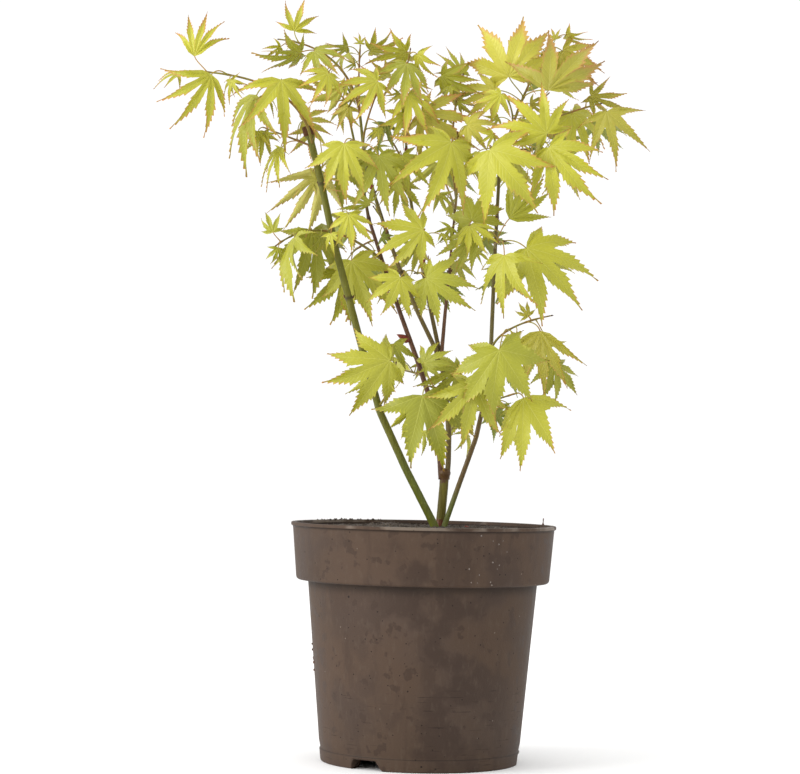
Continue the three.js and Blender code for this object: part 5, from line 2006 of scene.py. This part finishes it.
@dataclass
class Soil:
    """Potting soil: one closed body that fills the pot, with loose crumbs on top."""

    wall_gap: float = 3.15
    hollow: float = 3.2
    flat_radius: float = 26.0
    rings: int = 64
    sides: int = 180
    crumbs: int = 900
    rim_crumbs: int = 44
    crumb_size: Pair = (0.5, 1.9)

    def top_height(self, radius: Array, turn: Array) -> Array:
        """The height of the soil: flat round the stems and a little lower near the wall."""
        out = np.clip(radius - self.flat_radius, 0, None) / (94 - self.flat_radius)
        lumps = 0.9 * np.sin(3 * turn + 1) + 0.7 * np.sin(7 * turn + radius / 9)
        return SOIL_LEVEL - self.hollow * out**2 + lumps * np.minimum(1, 3 * out) * (1 - out)

    def finish(self) -> Material:
        """Dark, damp, fibrous soil with pale bits."""
        material, w, shader = start_material("potting_soil")
        patches = w.mottle(70, 5, 0.4, 0.6)
        crumbs = w.mottle(520, 5, 0.3, 0.7)
        pale = w.specks(330, 0.12, 0.25)
        base = w.mix(patches, colour("463b31"), colour("332a23"))
        base = w.lay(base, crumbs, 0.5, "5d5044")
        base = w.lay(base, pale, 0.6, "8a7a66")
        dress(w, shader, base, w.scaled(crumbs, 0.1, 0.85))
        add_bump(w, shader, crumbs, 1.0, 0.0012)
        return material

    def build(self, pot: Pot) -> None:
        """Builds the body and the crumbs."""
        material = self.finish()
        self.build_body(pot, material)
        self.build_crumbs(pot, material)

    def build_body(self, pot: Pot, material: Material) -> None:
        """Builds the soil: its walls follow the pot's inside, and its top is uneven."""
        rng = np.random.default_rng(11)
        low = pot.recess[2] + pot.floor_thickness + GAP
        rim = pot.collar_top_radius - self.wall_gap - 0.2
        walls = np.array([
            [0, low],
            [pot.body_radius(low) - self.wall_gap, low],
            [pot.body_top_radius - self.wall_gap, pot.step + pot.wall + 0.1],
            [pot.collar_bottom_radius - self.wall_gap, pot.step + pot.wall + 0.8],
        ])
        turns = round_turns(self.sides)
        reach = rim * np.linspace(1, 0, self.rings) ** 0.8
        radius = np.concatenate([walls[:, 0], reach])[:, None] + 0 * turns
        height = np.concatenate([walls[:, 1], reach * 0])[:, None] + 0 * turns
        top = slice(len(walls), None)
        height[top] = self.top_height(radius[top], turns[None])
        rough = rng.normal(0, 0.32, radius[top].shape)
        rough = (rough + np.roll(rough, 1, 1) + np.roll(rough, 1, 0)) / 1.5
        fade = np.clip(radius[top] / 30, 0.25, 1)
        height[top] += rough * fade
        height[-1] = SOIL_LEVEL
        parts = MeshParts()
        parts.add_turned(radius, height, turns, radius)
        piece = parts.make("soil_body", [material])
        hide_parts("soil")

    def build_crumbs(self, pot: Pot, material: Material) -> None:
        """Scatters crumbs over the soil and a few on the back of the rim, joined."""
        rng = np.random.default_rng(23)
        radius = (pot.collar_top_radius - 6) * np.sqrt(rng.random(self.crumbs))
        turn = rng.random(self.crumbs) * 2 * math.pi
        height = self.top_height(radius, turn) + 0.2
        size = rng.uniform(*self.crumb_size, self.crumbs) * rng.random(self.crumbs) ** 0.7
        back = rng.uniform(math.radians(108), math.radians(150), self.rim_crumbs)
        radius = np.concatenate([radius, rng.uniform(91, 93.6, self.rim_crumbs)])
        turn = np.concatenate([turn, back])
        height = np.concatenate([height, np.full(self.rim_crumbs, pot.height)])
        size = np.concatenate([size, rng.uniform(0.4, 1.1, self.rim_crumbs)])
        centre = np.stack([radius * np.cos(turn), radius * np.sin(turn), height], axis=1)
        poles = np.array([[1, 0, 0], [0, 1, 0], [-1, 0, 0], [0, -1, 0], [0, 0, 1], [0, 0, -1.0]])
        ring = [(k, (k + 1) % 4) for k in range(4)]
        faces = np.array([(a, b, 4) for a, b in ring] + [(b, a, 5) for a, b in ring])
        shape = poles[None] * rng.uniform(0.55, 1.25, (len(size), 6, 1))
        points = centre[:, None] + shape * size[:, None, None]
        quads = (faces[None] + 6 * np.arange(len(size))[:, None, None]).reshape(-1, 3)
        parts = MeshParts()
        parts.add(points.reshape(-1, 3), quads, 0, np.zeros((6 * len(size), 2)))
        piece = parts.make("soil_crumbs", [material])


def add_bead(
    parts: MeshParts, place: Array, out: Array, size: float, flat: float, uneven: float, seed: float
) -> None:
    """Adds a rounded bead: rings across a line, whose radii follow half a circle.

    Args:
        parts: What it is added to.
        place: Its middle.
        out: The line's direction.
        size: Its radius across the line.
        flat: Its half length along the line, as a share of its radius.
        uneven: How lumpy it is, from 0 for a smooth bead.
        seed: What its lumps are drawn from.
    """
    share = np.linspace(-0.97, 0.97, 9)
    turns = round_turns(12)
    path = place + share[:, None] * out * size * flat
    lumps = 1 + uneven * ripple(turns[None], 3 * share[:, None], 3, seed)
    radii = size * np.sqrt(1 - share**2)[:, None] * lumps
    add_tube(parts, path, radii, len(turns), 0, share)


@dataclass
class Litter:
    """Small things that lie about: drops and dirt on the wall, a stub and a bud scale."""

    drops: int = 15
    drop_bearings: Pair = (-76.0, -52.0)
    drop_heights: Pair = (131.0, 166.0)
    drop_size: Pair = (0.35, 0.75)
    dirt: int = 7
    dirt_bearings: Pair = (178.0, 190.0)
    dirt_heights: Pair = (62.0, 84.0)
    dirt_size: Pair = (0.45, 1.1)
    stub_foot: Triple = (87.5, 30.0, 169.6)
    stub_length: float = 5.2
    scale_place: Triple = (31.0, -2.0, 168.5)

    def water(self) -> Material:
        """Water that takes the pot's colour and gleams."""
        material, w, shader = start_material("water")
        dress(w, shader, colour("6b5f55"), 0.06, 0.9)
        return material

    def build(self, pot: Pot) -> None:
        """Builds the drops, the dirt with the stub, and the scale."""
        rng = np.random.default_rng(5)
        drops, dirt, scale = MeshParts(), MeshParts(), MeshParts()
        for _ in range(self.drops):
            bearing, height = rng.uniform(*self.drop_bearings), rng.uniform(*self.drop_heights)
            place, out = pot.wall_point(bearing, height)
            add_bead(drops, place, out, rng.uniform(*self.drop_size), 0.7, 0.0, 0.0)
        for i in range(self.dirt):
            bearing, height = rng.uniform(*self.dirt_bearings), rng.uniform(*self.dirt_heights)
            place, out = pot.wall_point(bearing, height)
            add_bead(dirt, place, out, rng.uniform(*self.dirt_size), 0.9, 0.35, i)
        share = np.linspace(0, 1, 8)
        stub = np.array(self.stub_foot) + share[:, None] * np.array([0.3, 0.0, self.stub_length])
        foot, node = np.exp(-((share / 0.25) ** 2)), np.exp(-(((share - 0.8) / 0.15) ** 2))
        thick = 0.3 + 0.8 * foot + 0.15 * node
        add_tube(dirt, stub, thick, 10, 0, share)
        add_bead(scale, np.array(self.scale_place), np.array([0.25, 0.1, 0.96]), 1.7, 0.4, 0.3, 2.0)
        drops.make("water_drops", [self.water()])
        dirt.make("dirt", [BUD.material()])
        scale.make("bud_scale", [RED_BUD.material()])


# ------------------------ stage
@dataclass
class Stage:
    """A wide pale floor, soft lights and the camera.

    The camera stands a little above the pot's rim, level with the lower crown, far enough
    away for a long lens, and is rolled by a touch as the plant leans to the right.
    """

    camera_place: Triple = (-0.019, -1.8, 0.223)
    aim_height: float = 0.268
    roll: float = 0.02
    lens: float = 112.5
    floor_radius: float = 30.0
    sky: float = 1.05

    def build_floor(self) -> None:
        """Builds the floor, a wide flat disc."""
        turns = round_turns(96)
        radius = np.array([0.0, 1.0, self.floor_radius])[:, None] / MM + 0 * turns
        parts = MeshParts()
        parts.add_turned(radius, 0 * radius, turns, radius)
        material, w, shader = start_material("pale_floor")
        dress(w, shader, (0.97, 0.97, 0.965), 0.9)
        parts.make("floor", [material])

    def add_light(self, name: str, place: Triple, size: float, watts: float) -> None:
        """Adds a square soft light that faces the crown."""
        lamp = bpy.data.lights.new(name, "AREA")
        lamp.energy = watts
        lamp.size = size
        obj = link(name, lamp)
        obj.location = place
        aim = Vector((0, 0, 0.3)) - Vector(place)
        obj.rotation_euler = aim.to_track_quat("-Z", "Y").to_euler()

    def build_camera(self) -> None:
        """Builds the camera and makes it the scene's."""
        lens = bpy.data.cameras.new("camera")
        lens.lens = self.lens
        lens.sensor_width = 36
        lens.clip_end = 50
        obj = link("camera", lens)
        place = Vector(self.camera_place)
        aim = Vector((self.camera_place[0], 0, self.aim_height)) - place
        look = aim.to_track_quat("-Z", "Y").to_matrix().to_4x4()
        turned = Matrix.Rotation(self.roll, 4, "Z")
        obj.matrix_world = Matrix.Translation(place) @ look @ turned
        bpy.context.scene.camera = obj

    def build(self) -> None:
        """Builds the floor, the lights, the surroundings and the camera."""
        self.build_floor()
        self.add_light("key", (-2.8, -1.2, 1.3), 2.0, 75)
        self.add_light("fill", (1.6, -2.6, 1.2), 1.8, 6)
        self.add_light("top", (0.0, 0.4, 2.8), 2.2, 10)
        world = bpy.data.worlds.new("surroundings")
        world.use_nodes = True
        sky = world.node_tree.nodes["Background"].inputs
        sky["Color"].default_value = (1, 1, 1, 1)
        sky["Strength"].default_value = self.sky
        bpy.context.scene.world = world
        bpy.context.scene.view_settings.view_transform = "Standard"
        self.build_camera()


def write_sizes() -> None:
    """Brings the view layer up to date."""
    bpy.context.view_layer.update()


def main() -> None:
    """Builds the plant from the pot up, then its stage."""
    pot = Pot()
    pot.build()
    Soil().build(pot)
    Litter().build(pot)
    Stems().build()
    foliage = Foliage()
    foliage.build()
    Twigs().build(foliage)
    Stage().build()
    write_sizes()


if __name__ == "__main__":
    main()
